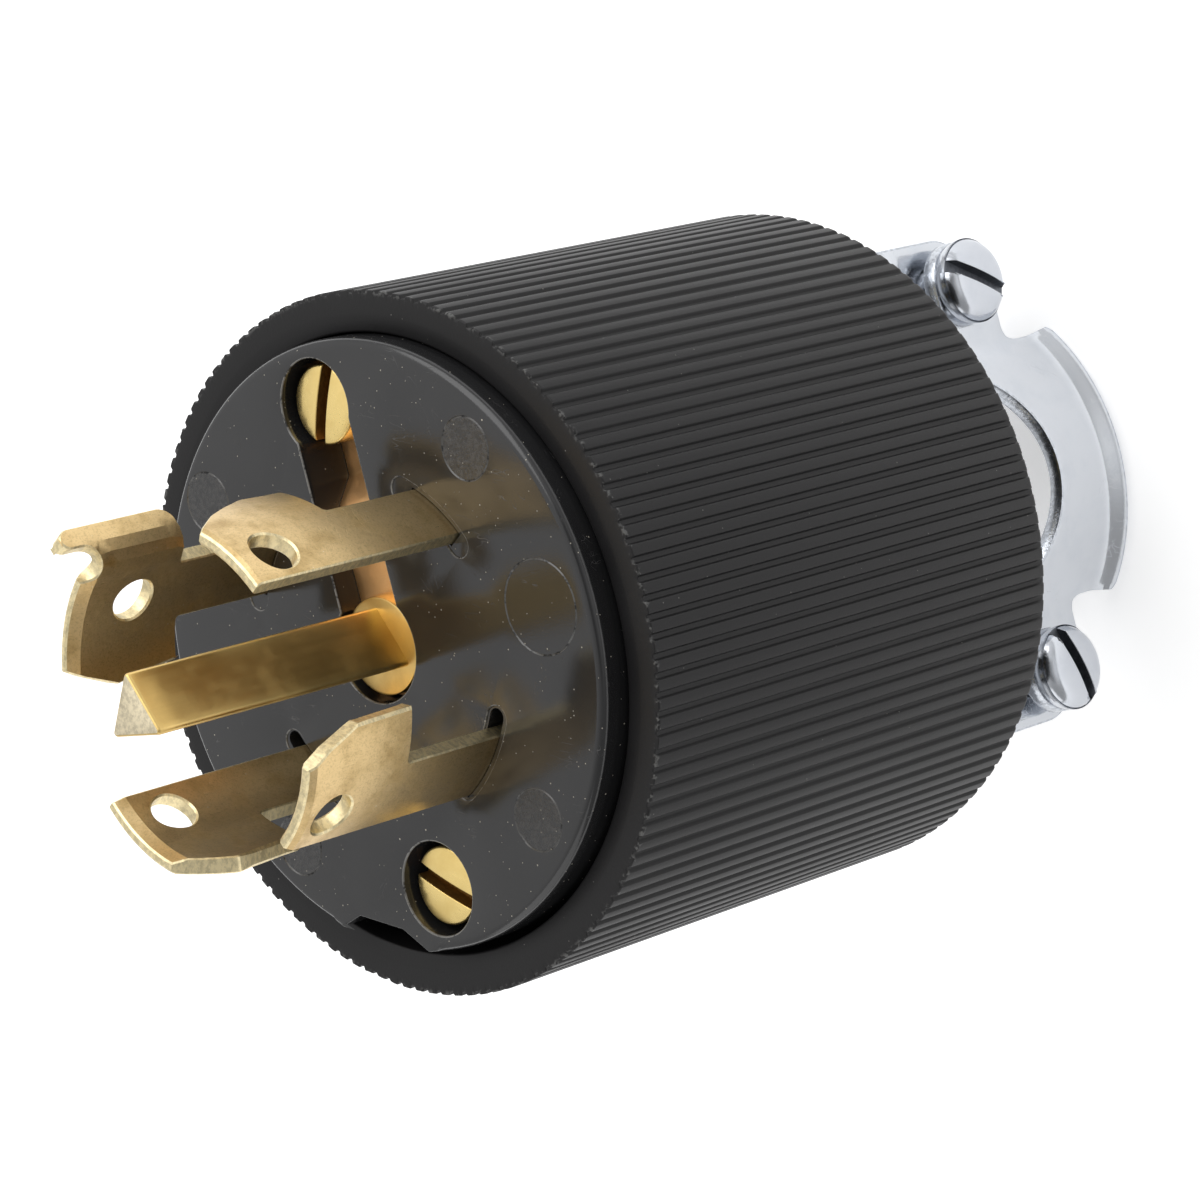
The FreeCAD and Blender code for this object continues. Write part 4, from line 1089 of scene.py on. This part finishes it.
def front_disc():
    """Front moulding: a rim with a round edge and a notch, and recesses for everything that it holds.

    Each recess is its loop carried down from a small round mouth to a floor, and the face is the flat
    region between the rim's last ring and the mouths.
    """
    surface = Surface()
    first, last = NOTCH_ARC_ENDS
    big = arc_points(DISC_RADIUS, last, first + 360.0, 340)
    rim_corners = at_angles(DISC_RADIUS, *NOTCH_RIM_ANGLES)
    notch = [rim_corners[:1], at_angles(NOTCH_FLOOR, *NOTCH_FLOOR_ANGLES), rim_corners[1:]]
    rim = rounded(np.concatenate([big, *notch]), [0.0] * len(big) + list(NOTCH_RADII), step=0.12)
    angle = np.degrees(np.arctan2(rim[:, 1], rim[:, 0]))
    first, last = NOTCH_BLEND
    beyond = np.clip(np.maximum(first - angle, angle - last) / NOTCH_BLEND_WIDTH, 0, 1)
    edge = NOTCH_EDGE + (DISC_EDGE - NOTCH_EDGE) * beyond ** 2 * (3 - 2 * beyond)
    stack = rings(rim, [(0.0, PARTING)] + round_rows(edge, FACE, 7))
    surface.grid(stack)
    face_loops = [stack[-1, :, :2]]
    back_loops = [rim]

    def recess(rows):
        """A recess's wall, its small round mouth marked for the painted edge highlight."""
        surface.grid(rows[:MOUTH_ROWS], cut=1.0)
        surface.grid(rows[MOUTH_ROWS - 1:])
        face_loops.append(rows[0, :, :2])

    def through(loop, top):
        """A hole's straight wall from a height to the rear face."""
        surface.bore(loop, top, PARTING)
        back_loops.append(loop)

    for index, angle in enumerate(BLADE_ANGLES):
        mouth = rings(slot_loop(angle), hollow_rows(SLOT_MOUTH, FACE, FACE - SLOT_DEPTH, SLOT_FILLET))
        recess(mouth)
        opening = turn_degrees(blade_opening(index), angle)
        surface.cap([mouth[-1, :, :2], opening], at_height(FACE - SLOT_DEPTH))
        through(opening, FACE - SLOT_DEPTH)
        tip = circle(TERMINAL_SHANK + 0.2, turn_degrees(np.array([TERMINAL_REACH, 0.0]), angle), 32)
        surface.bore(tip, PARTING, PARTING + TERMINAL_TIP_ROOM)
        surface.cap([tip], at_height(PARTING + TERMINAL_TIP_ROOM))
        back_loops.append(tip)

    mouth_loop = eyes_loop(COLLAR_HOLE, HEAD_HOLE, SCREW_REACH)
    wall = rings(mouth_loop, hollow_rows(CHANNEL_MOUTH, FACE, FACE - 0.5))
    recess(np.concatenate([wall, under_strap(mouth_loop)[None]]))
    stem = circle(STEM_RADIUS)
    upper = circle(CLEARANCE, (0.0, SCREW_REACH), HOLE_STEPS)
    surface.cap([mouth_loop, stem, upper], under_strap, (1.2, 0.4))
    for hole in (stem, upper):
        through(hole, float(strap_height(hole[:, 1].mean())) - STRAP_THICKNESS / 2)

    lower_mouth = circle(HEAD_HOLE, (0.0, -SCREW_REACH), count=72)
    seat = FACE - STRAP_DEPTH_AT_SCREW
    wall = rings(lower_mouth, hollow_rows(HEAD_MOUTH, FACE, seat, HEAD_FILLET))
    recess(wall)
    lower = circle(CLEARANCE, (0.0, -SCREW_REACH), HOLE_STEPS)
    surface.cap([wall[-1, :, :2], lower], at_height(seat))
    through(lower, seat)

    marks = [(place, MARK_RADIUS) for place in MARK_PLACES] + [(WIDE_MARK_PLACE, WIDE_MARK_RADIUS)]
    for place, radius in marks:
        line = rings(circle(radius, place, count=64), [
            (share * MARK_HALF_WIDTH, FACE - MARK_DEPTH * (1 - share ** 2))
            for share in (-1.0, -0.5, 0.0, 0.5, 1.0)])
        # The mark's ring groove takes part of the disc's painted edge highlight.
        surface.grid(line, cut=0.6)
        face_loops.append(line[0, :, :2])
        surface.cap([line[-1, :, :2]], at_height(FACE))
    surface.cap(face_loops, at_height(FACE))
    surface.cap(back_loops, at_height(PARTING))
    make_piece("front_disc", [surface], DISC_PLASTIC, "plug_body")


def flat_corners(index):
    """Corners of a blade's flat outline: (length round the middle of its wall, height above the face)."""
    return [(angle * PER_DEGREE, height) for angle, height, radius in BLADE_CORNERS[index]]


def blade_outline(index):
    """Flat outline of a blade with round corners, and of the tab and its relief where it has them."""
    foot = PARTING - FOOT_THICKNESS - FACE
    corners = flat_corners(index)
    radii = [radius for angle, height, radius in BLADE_CORNERS[index]]
    if index == TABBED_BLADE:
        relief, side = RELIEF_ANGLE * PER_DEGREE, TAB_SIDE * PER_DEGREE
        tab_end = blade_line(index).edges[0]
        centre = RELIEF_LOW + RELIEF_RADIUS
        mouth = math.degrees(math.asin((centre - corners[-1][1]) / RELIEF_RADIUS))
        notch = arc_points(RELIEF_RADIUS, -mouth, -180.0, 15, (relief, centre))
        corners += notch.tolist()
        radii += [0.0] * len(notch)
        corners += [(relief - RELIEF_RADIUS, TAB_HIGH), (tab_end, TAB_HIGH), (tab_end, TAB_LOW),
                    (side, TAB_ROOT_LOW)]
        radii += [RELIEF_CORNER, TAB_CORNER, TAB_CORNER, TAB_ROOT_CORNER]
        low_side = side
    else:
        low_side = corners[-1][0]
    foot_side = max(low_side, -FOOT_SIDE_ANGLE * PER_DEGREE)
    corners = [(low_side, PARTING - FACE + FOOT_EASE), (foot_side, foot), (corners[0][0], foot)] + corners
    return refined(rounded(corners, [0.0, 0.0, 0.0] + radii, step=0.12), step=0.8)


def blade_line(index):
    """Middle line of a blade's wall seen from above, its length counted from the blade's middle."""
    if index != TABBED_BLADE:
        first, span = -40.0, 90.0
        return BentLine(at_angles(BLADE_MIDDLE, first)[0], first + 90.0, [(span * PER_DEGREE, span)],
                        origin=first * PER_DEGREE)
    offset = math.degrees(math.asin(TAB_BEND / (BLADE_MIDDLE + TAB_BEND)))
    bend_angle = TAB_ANGLE + offset
    straight = TAB_END - (BLADE_MIDDLE + TAB_BEND) * math.cos(math.radians(offset))
    sweep = 90.0 - offset
    arc = TAB_BEND * math.radians(sweep)
    wall = 60.0
    return BentLine(at_angles(TAB_END, TAB_ANGLE)[0], TAB_ANGLE + 180.0, [
        (straight, 0.0), (arc, -sweep), (wall * PER_DEGREE, wall),
    ], origin=bend_angle * PER_DEGREE - straight - arc)


def locking_blade(index):
    """Blade: its flat outline bevelled all round, bent along its middle line, and a flat foot behind."""
    outline = blade_outline(index)
    line = blade_line(index)

    def place(points):
        """Middle line's point, plus the depth along its right-hand side, at the height over the face."""
        middle, heading = line.at(points[:, 0])
        out = np.stack([np.sin(heading), -np.cos(heading)], axis=1)
        return raised(middle + out * points[:, 2:3], points[:, 1] + FACE)

    tip_start, *rest = flat_corners(index)[4:]
    tip_end = rest[0] if rest else (0.0, tip_start[1])
    limit = RELIEF_ANGLE * PER_DEGREE if index == TABBED_BLADE else TIP_LIMIT
    tips = {side: TipBevel(tip_start, tip_end, width, drop, limit)
            for side, (width, drop) in zip((1, -1), TIP_BEVELS[index])}
    for side in sorted(tips, key=lambda side: tips[side].width):
        outline = with_crossings(outline, tips[side].level)
    middle = (outline + np.roll(outline, -1, axis=0)) / 2
    hook_low, hook_high = HOOK_HEIGHTS
    hook = (middle[:, 0] > HOOK_START) & (middle[:, 1] < hook_high) & (middle[:, 1] > hook_low)
    bevel = np.where(hook, HOOK_BEVEL, EDGE_BEVEL)
    angle, height = BLADE_HOLES[index]
    hole = circle(BLADE_HOLE, (angle * PER_DEGREE, height), count=56)
    wall = sheet_plate([outline, hole], [even(bevel), even(HOLE_BEVEL)], BLADE_THICKNESS, place,
                       spread=(0.7, 0.9), crisp=True, tips=tips)
    foot_start = BLADE_MIDDLE - BLADE_THICKNESS / 2
    foot = rounded([(foot_start, -FOOT_HALF_WIDTH), (FOOT_END, -FOOT_HALF_WIDTH),
                    (FOOT_END, FOOT_HALF_WIDTH), (foot_start, FOOT_HALF_WIDTH)], 0.4)
    thread = circle(TERMINAL_SHANK, (TERMINAL_REACH, 0.0), 32)
    foot_plate = sheet_plate([foot, thread], [even(EDGE_BEVEL)] * 2, FOOT_THICKNESS - 2 * FOOT_EASE,
                             lambda points: points + np.array([0.0, 0.0, PARTING - FOOT_THICKNESS / 2]),
                             spread=None)
    make_piece("blade_%d" % (index + 1), [wall, foot_plate], BLADE_BRASS,
               "locking_blade_%d" % (index + 1), sharp=16.0,
               turn=lambda points: turn_degrees(points, BLADE_ANGLES[index]))


def three_sided_pin():
    """Ground pin: a prism with round edges and a sawn end, and a turned collar, stem and head."""
    prism = Surface()
    top = high("ground_pin", Z)
    corners = arc_points(PIN_CIRCUMRADIUS - 0.02, PIN_APEX_ANGLE, PIN_APEX_ANGLE + 240.0, 3)
    loop = refined(rounded(corners, PIN_APEX_ROUND, 0.08), 0.6)
    collar = FACE - COLLAR_TOP
    root = collar - 0.5
    rows = [(0.0, height) for height in [root, *np.linspace(collar, top - PIN_END_ROUND, 12)]]
    stack = rings(loop, rows + [(inward, top - down) for inward, down in PIN_END_ROWS])
    prism.grid(stack)
    prism.cap([stack[-1, :, :2]], at_height(top))
    prism.cuts[-1][:] = 1.0
    prism.cap([stack[0, :, :2]], at_height(root))
    rear = PARTING - FOOT_THICKNESS
    base = FACE - STRAP_DEPTH_AT_PIN
    thread_end = PARTING + TERMINAL_TIP_ROOM
    stem = turned_surface([
        (0.0, thread_end), (TERMINAL_SHANK, thread_end),
        (TERMINAL_SHANK, rear + 0.2), (TERMINAL_SHANK + 0.2, rear), (STEM_HEAD - 0.15, rear),
        (STEM_HEAD, rear + 0.15), (STEM_HEAD, PARTING), (STEM_RADIUS, PARTING), (STEM_RADIUS, base),
        (COLLAR_RADIUS, base), (COLLAR_RADIUS, collar - 0.22), (COLLAR_RADIUS - 0.07, collar - 0.07),
        (COLLAR_RADIUS - 0.24, collar), (0.0, collar),
    ], 64)
    make_piece("three_sided_pin", [prism, stem], PIN_BRASS, "ground_pin")


def copper_strap():
    """Strap: a flat outline with an eye at each end, its middle line following the joggle."""
    reach = float(np.interp(SCREW_REACH, STRAP_SAMPLES[:, 0], STRAP_LENGTHS))
    outline = eyes_loop(STRAP_EYE_AT_PIN, STRAP_EYE_AT_SCREW, reach)

    def place(points):
        """Middle line's point at the length along the strap, plus the depth square to it."""
        middle, heading = STRAP_LINE.at(points[:, 1])
        side = np.stack([-np.sin(heading), np.cos(heading)], axis=1)
        return np.column_stack([points[:, 0], middle + side * points[:, 2:3]])

    stem = circle(STEM_RADIUS)
    hole = circle(CLEARANCE, (0.0, reach), HOLE_STEPS)
    strap = sheet_plate([outline, stem, hole], [even(0.1), even(0.04), even(0.1)], STRAP_THICKNESS, place,
                        spread=(1.0, 0.3))
    make_piece("copper_strap", [strap], STRAP_COPPER, "ground_strap")


def slotted_head(radius, base, top, crown, edge, slot_width, slot_floor, slot_angle, wall_rows):
    """Screw head with a straight slot: two D-shaped halves over a round base.

    The height is top - crown (r / radius)^2. Each half's rim is a quarter round of the edge's radius,
    and its slot side has a small bevel. The slot's walls and floor are marked as cut, which gives them
    the material's dark cut colour, a painted shade in the slot. Below the slot's floor the head is one
    round stack of wall_rows, down to its base.
    """
    surface = Surface()
    steps, bevel = 41, 0.1
    lean = math.degrees(math.asin(slot_width / 2 / radius))

    def dome(flat, drop=0.0):
        """Height of the domed top."""
        return top - crown * (flat ** 2).sum(axis=1) / radius ** 2 - drop

    arcs = {}
    for side in (0, 180):
        arc = arc_points(radius, lean, 180.0 - lean, steps)
        chord = np.linspace(arc[-1], arc[0], 14)[1:-1]
        loop = np.concatenate([arc, chord])
        on_arc = np.arange(len(loop)) < len(arc) - 1
        levels = []
        for inward, down in quarter_turn(6):
            flat = inset(loop, np.where(on_arc, edge, bevel) * inward)
            drop = np.where(on_arc | np.roll(on_arc, 1), edge, bevel) * down
            levels.append(raised(flat, dome(flat, drop)))
        arcs[side] = turn_degrees(np.stack([raised(loop, slot_floor)] + levels), side + slot_angle)
        surface.grid(arcs[side])
        # The slot's sides are marked, so that they take the painted slot shade.
        surface.cuts[-1][:len(loop)] = np.where(on_arc, 0.0, 1.0)
        surface.cap([levels[-1][:, :2]], lambda flat, side=side: turn_degrees(
            raised(flat, dome(flat)), side + slot_angle), (0.7, 0.7))
    ends = [turn_degrees(arc_points(radius, first, first + 2 * lean, 9), slot_angle)[1:-1]
            for first in (180.0 - lean, -lean)]
    first_foot, last_foot = arcs[0][0, :, :2], arcs[180][0, :, :2]
    first_arc, last_arc = first_foot[:steps], last_foot[:steps]
    surface.cap([np.concatenate([first_foot[steps - 1:], first_arc[:1], ends[1][::-1], last_foot[steps - 1:],
                                 last_arc[:1], ends[0][::-1]])], at_height(slot_floor))
    # The slot's floor takes the painted slot shade too.
    surface.cuts[-1][:] = 1.0
    whole = np.concatenate([first_arc, ends[0], last_arc, ends[1]])
    stack = rings(whole, [(0.0, slot_floor)] + wall_rows)
    surface.grid(stack)
    surface.cap([stack[-1, :, :2]], at_height(base))
    return surface


def assembly_screw(name, side, slot_angle):
    """Long brass screw: domed slotted head, plain shank and a thread at its rear end."""
    top = FACE - SCREW_HEAD_TOP
    seat = FACE - STRAP_DEPTH_AT_SCREW
    head = slotted_head(SCREW_HEAD_RADIUS, seat, top, crown=0.22, edge=0.22, slot_width=1.15,
                        slot_floor=top - 1.5, slot_angle=slot_angle,
                        wall_rows=[(0.0, seat + 0.15), (0.15, seat)])
    shank = threaded_shank(SCREW_SHANK, low(name, Z), seat, plain=30.0)
    make_piece("long_" + name, [head, shank], SCREW_BRASS, name,
               shift=(0.0, side * SCREW_REACH + BODY_Y, 0.0))


def clamp_screw(name, side, slot_angle):
    """Plated pan-head screw, made upright and then laid with its head towards +X."""
    seat = CLAMP_MIDDLE + EAR_GAP / 2 + SHEET
    head = slotted_head(CLAMP_HEAD_RADIUS, 0.0, CLAMP_HEAD_HEIGHT, crown=0.5, edge=1.3, slot_width=1.2,
                        slot_floor=CLAMP_HEAD_HEIGHT - 1.3, slot_angle=slot_angle,
                        wall_rows=[(0.0, 1.1), (0.1, 0.3), (0.25, 0.0)])
    shank = threaded_shank(SCREW_SHANK, CLAMP_SCREW_END - seat, 0.0)
    make_piece("plated_" + name, [head, shank], PLATED_SCREW, name,
               shift=(seat, side * CLAMP_SCREW_REACH + BODY_Y, CLAMP_SCREW_HEIGHT),
               turn=lambda points: points[:, [2, 0, 1]])


def arch_line():
    """Middle line of a clamp half seen along the plug's axis: ear, bend, arch, bend, ear."""
    middle = ARCH_RADIUS - SHEET / 2
    ear = CLAMP_MIDDLE + EAR_GAP / 2 + SHEET / 2
    lean = math.radians(ARCH_ANGLE)
    apex = ARCH_CROWN - ARCH_RADIUS + middle / math.cos(lean)
    foot = (apex - ear) / math.tan(lean)
    bend = ((apex - ear) / math.sin(lean) - middle * math.tan(lean)) / math.tan(lean / 2)
    reach = bend * math.tan(lean / 2)
    flat_run, turn = (12.0, 0.0), (bend * lean, ARCH_ANGLE)
    line = BentLine((-foot - reach - flat_run[0], ear), 0.0, [
        flat_run, turn, (2 * middle * lean, -2 * ARCH_ANGLE), turn, flat_run])
    lengths = np.linspace(0.0, line.edges[-1], 2001)
    points, headings = line.at(lengths)
    return points[:, 0], points[:, 1], headings


ARCH_ACROSS, ARCH_OUT, ARCH_HEADING = arch_line()


def upright_line(legs):
    """Middle line of a clamp half seen along Y, in (outward offset, height): a lip and a wall.

    With legs, the wall steps outwards and ends in a foot. The length equals the height on the wall.
    """
    root = LIP_ROOT + LIP_BEND * math.tan(math.radians(LIP_FLARE / 2))
    arc = LIP_BEND * math.radians(LIP_FLARE)
    lip = 8.0
    down = BentLine((0.0, root), -90.0, [(arc, LIP_FLARE), (lip, 0.0)])
    end, heading = down.points[-1], math.degrees(down.headings[-1]) + 180.0
    runs = [(lip, 0.0), (arc, -LIP_FLARE)]
    if legs:
        low_bend, high_bend = LEG_BEND_HEIGHTS
        shift = (CLAMP_MIDDLE - EAR_GAP / 2) - LEG_INNER_FACE
        slope = math.degrees(math.atan2(shift, high_bend - low_bend))
        reach = LEG_BEND * math.tan(math.radians(slope / 2))
        bend = LEG_BEND * math.radians(slope)
        slant = math.hypot(shift, high_bend - low_bend) - 2 * reach
        foot = SLEEVE_REAR - SHEET / 2
        runs += [(low_bend - reach - root, 0.0), (bend, -slope), (slant, 0.0), (bend, slope),
                 (foot - LEG_BEND - high_bend - reach, 0.0), (LEG_BEND * math.pi / 2, 90.0), (20.0, 0.0)]
    else:
        runs.append((30.0, 0.0))
    return BentLine(end, heading, runs, origin=root - arc - lip)


def clamp_place(line):
    """Place for a clamp half: the arch's point across, moved outwards by the upright line and the depth."""
    def place(points):
        """Points of (across, up, depth) put on the clamp."""
        across, up, depth = points.T
        out = np.interp(across, ARCH_ACROSS, ARCH_OUT)
        heading = np.interp(across, ARCH_ACROSS, ARCH_HEADING)
        offset, lean = line.at(up)
        reach = offset[:, 0] + depth * np.sin(lean)
        height = offset[:, 1] - depth * np.cos(lean)
        return np.column_stack([out + np.cos(heading) * reach, across - np.sin(heading) * reach, height])
    return place


def clamp_loop(ear_radius, legs=None):
    """Flat outline of a clamp half in (distance across, length up), counter-clockwise.

    legs is the length at which a leg ends; without it each ear is round.
    """
    line = upright_line(False)
    lengths = np.linspace(line.edges[0], 6.0, 800)
    heights = line.at(lengths)[0][:, 1]
    bottom = float(np.interp(SHEET / 2 * math.sin(math.radians(LIP_FLARE)), heights, lengths))
    ear_low, ear_top = CLAMP_SCREW_HEIGHT - ear_radius, CLAMP_SCREW_HEIGHT + ear_radius
    edge = SADDLE_HALF_WIDTH
    bite_centre = BITE_CROWN + BITE_RADIUS
    half_bite = side_angle(bite_centre - ear_top, BITE_RADIUS)
    bite = arc_points(BITE_RADIUS, -90.0 + half_bite, -90.0 - half_bite, 33, (0.0, bite_centre))
    reach = CLAMP_SCREW_REACH
    right = [(edge, bottom), (edge, ear_low), (reach, ear_low)]
    right_radii = [LIP_CORNER, EAR_FILLET, 0.0]
    if legs is None:
        ear = arc_points(ear_radius, -90.0, 90.0, 25, (reach, CLAMP_SCREW_HEIGHT))[1:]
        right = np.concatenate([right, ear])
        right_radii += [0.0] * len(ear)
    else:
        outer_corner = arc_points(ear_radius, -90.0, 0.0, 13, (reach, CLAMP_SCREW_HEIGHT))[1:]
        leg = [(reach + ear_radius, legs), (reach - ear_radius, legs), (reach - ear_radius, ear_top)]
        right = np.concatenate([right, outer_corner, leg])
        right_radii += [0.0] * len(outer_corner) + [FOOT_CORNER, FOOT_CORNER, LEG_FILLET]
    left = np.array(right)[::-1] * np.array([-1.0, 1.0])
    corners = np.concatenate([right, bite, left])
    radii = right_radii + [BITE_CORNER] + [0.0] * (len(bite) - 2) + [BITE_CORNER] + right_radii[::-1]
    return refined(rounded(corners, radii, step=0.2), step=0.7)


def hole_pair(radius, reach, up):
    """Two round holes in a clamp half, one at each side of its middle."""
    return [circle(radius, (side * reach, up), HOLE_STEPS) for side in (1, -1)]


def clamp_sheet(outline, holes, place):
    """Sheet of a clamp half, with a wider bevel round its outline than round its holes."""
    bevels = [even(SHEET_BEVEL)] + [even(SHEET_HOLE_BEVEL)] * len(holes)
    return sheet_plate([outline] + holes, bevels, SHEET, place, spread=(0.7, 0.5))


def clamp_saddle():
    """Loose clamp half with a clearance hole in each ear."""
    holes = hole_pair(CLEARANCE, CLAMP_SCREW_REACH, CLAMP_SCREW_HEIGHT)
    sheet = clamp_sheet(clamp_loop(NEAR_EAR), holes, clamp_place(upright_line(False)))
    make_piece("bent_clamp_saddle", [sheet], PLATED_STEEL, "clamp_saddle")


def clamp_yoke():
    """Fixed clamp half: arch, ears with round bosses, legs and feet."""
    line = upright_line(True)
    hole_length = line.edges[-2] - (LEG_INNER_FACE - SHEET / 2 + LEG_BEND)
    place = clamp_place(line)

    def mirrored(points):
        """The far half: the same form on the other side of the clamp's middle plane."""
        result = place(points)
        result[:, 0] = 2 * CLAMP_MIDDLE - result[:, 0]
        return result

    holes = (hole_pair(SCREW_SHANK, CLAMP_SCREW_REACH, CLAMP_SCREW_HEIGHT)
             + hole_pair(SCREW_SHANK, SCREW_REACH, hole_length))
    shells = [clamp_sheet(clamp_loop(FAR_EAR, hole_length + FOOT_FRONT), holes, mirrored)]
    ear_back = CLAMP_MIDDLE - EAR_GAP / 2 - SHEET + 0.3
    for side in (1, -1):
        boss = turned_surface([
            (SCREW_SHANK, ear_back), (SCREW_SHANK, EAR_BOSS_END + 0.15), (SCREW_SHANK + 0.2, EAR_BOSS_END),
            (FAR_EAR - 0.6, EAR_BOSS_END), (FAR_EAR - 0.2, EAR_BOSS_END + 0.15),
            (FAR_EAR - 0.05, EAR_BOSS_END + 0.5), (FAR_EAR - 0.05, ear_back), (SCREW_SHANK, ear_back)], 56)
        place_on_ear = np.array([0.0, side * CLAMP_SCREW_REACH, CLAMP_SCREW_HEIGHT])
        boss.points = [points[:, [2, 0, 1]] + place_on_ear for points in boss.points]
        shells.append(boss)
    make_piece("bent_clamp_yoke", shells, PLATED_STEEL, "clamp_yoke")


ribbed_sleeve()
front_disc()
for index in range(len(BLADE_ANGLES)):
    locking_blade(index)
three_sided_pin()
copper_strap()
assembly_screw("assembly_screw_upper", 1, SCREW_SLOT_ANGLES[0])
assembly_screw("assembly_screw_lower", -1, SCREW_SLOT_ANGLES[1])
clamp_screw("clamp_screw_upper", 1, CLAMP_SLOT_ANGLES[0])
clamp_screw("clamp_screw_lower", -1, CLAMP_SLOT_ANGLES[1])
clamp_saddle()
clamp_yoke()

# Nodes of the frame that keep their own shape: the carrier, and a screw and a plate for each terminal
carried = {"terminal_carrier": CARRIER_PLASTIC}
for number in range(1, len(BLADE_ANGLES) + 2):
    carried["terminal_screw_%d" % number] = SCREW_BRASS
    carried["wire_plate_%d" % number] = PLATED_STEEL
for name, material in carried.items():
    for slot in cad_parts[name].material_slots:
        slot.material = material


# Stage, in metres

FLOOR_HALF = 12.0
FLOOR_GREY = 0.82
FLOOR_LIFT = 0.48

# Surroundings: the level everywhere, and the strength, direction and narrowness of three soft lobes
SKY_LOW = 0.42
SKY_LOBES = (
    (0.75, (0.10, 0.70, 0.70), 2.0),
    (0.42, (-0.70, -0.05, 0.71), 3.0),
    (0.62, (0.917, -0.020, 0.398), 14.0),
)

# Dark patch: its direction, how much it takes off, and where it begins and is whole
DARK_SIDE = (0.712, 0.020, 0.702)
DARK_SHARE = 0.75
DARK_EDGE = (0.86, 0.97)

MIDDLE = (0.0, 0.0, 0.07)
CAMERA_PLACE = (0.266174, 0.006645, 0.326418)
CAMERA_RIGHT = (0.68378405, -0.24610271, -0.68693)
CAMERA_UP = (0.15907427, 0.96904059, -0.18882721)
CAMERA_BACKWARD = (0.71213394, 0.01984415, 0.70176311)
CAMERA_SENSOR = 36.0
CAMERA_LENS = 130.0
CAMERA_NEAR = 0.01


def stage_floor():
    """Pale floor that the camera and the metals see as white, with the object's shadow kept."""
    size = FLOOR_HALF
    mesh = bpy.data.meshes.new("floor")
    mesh.from_pydata([(-size, -size, 0), (size, -size, 0), (size, size, 0), (-size, size, 0)], [],
                     [(0, 1, 2, 3)])
    shader = Shader("floor_paper", Roughness=0.9, Emission_Strength=FLOOR_LIFT,
                    Base_Color=(FLOOR_GREY, FLOOR_GREY, FLOOR_GREY, 1.0))
    path = shader.tree.nodes.new("ShaderNodeLightPath")
    seen = Value(shader, path.outputs["Is Camera Ray"])
    for ray in ("Is Glossy Ray", "Is Transmission Ray"):
        seen = seen.math("MAXIMUM", Value(shader, path.outputs[ray]))
    shader.finish(Emission_Color=shader.mix(seen, (0.0, 0.0, 0.0), (1.0, 1.0, 1.0)))
    mesh.materials.append(shader.material)
    add_object("floor", mesh)


def area_lamp(name, place, size, power):
    """Square soft lamp at a place, turned to the object's middle."""
    data = bpy.data.lights.new(name, "AREA")
    data.size = size
    data.energy = power
    lamp = add_object(name, data)
    lamp.location = place
    lamp.rotation_euler = (Vector(MIDDLE) - Vector(place)).to_track_quat("-Z", "Y").to_euler()


def stage_world():
    """Soft white surroundings, brighter along each lobe and dark where the camera stands.

    A lobe adds its strength times a power of the cosine between a direction and its own. The dark
    patch takes its share off all but the last lobe.
    """
    world = bpy.data.worlds.new("studio")
    world.use_nodes = True
    shader = NodeTree(world.node_tree)
    direction = shader.node("ShaderNodeTexCoord", output="Generated")

    def towards(side):
        """How far a direction lies on a side: 1 straight towards it, less than 0 away from it."""
        return shader.vector_math("DOT_PRODUCT", direction, side, output="Value")

    *wide_lobes, low_lobe = [strength * towards(side).math("MAXIMUM", 0.0) ** power
                             for strength, side, power in SKY_LOBES]
    dimmed = 1 - DARK_SHARE * towards(DARK_SIDE).step(*DARK_EDGE)
    background = world.node_tree.nodes["Background"]
    background.inputs["Color"].default_value = (1.0, 1.0, 1.0, 1.0)
    shader.put(background.inputs["Strength"], (SKY_LOW + sum(wide_lobes)) * dimmed + low_lobe)
    bpy.context.scene.world = world


def stage_camera():
    """Camera at the photograph's viewing angle: its axes are the camera's right, up and backward."""
    data = bpy.data.cameras.new("camera")
    data.sensor_width = CAMERA_SENSOR
    data.lens = CAMERA_LENS
    data.clip_start = CAMERA_NEAR
    camera = add_object("camera", data)
    axes = Matrix((CAMERA_RIGHT, CAMERA_UP, CAMERA_BACKWARD)).transposed()
    camera.matrix_world = Matrix.Translation(Vector(CAMERA_PLACE)) @ axes.to_4x4()
    bpy.context.scene.camera = camera


stage_floor()
stage_world()
stage_camera()
area_lamp("key", (0.05, 0.85, 0.85), 1.0, 6.0)
area_lamp("fill", (-0.25, -0.95, 0.55), 0.9, 2.4)

bpy.context.scene.view_settings.view_transform = "Standard"
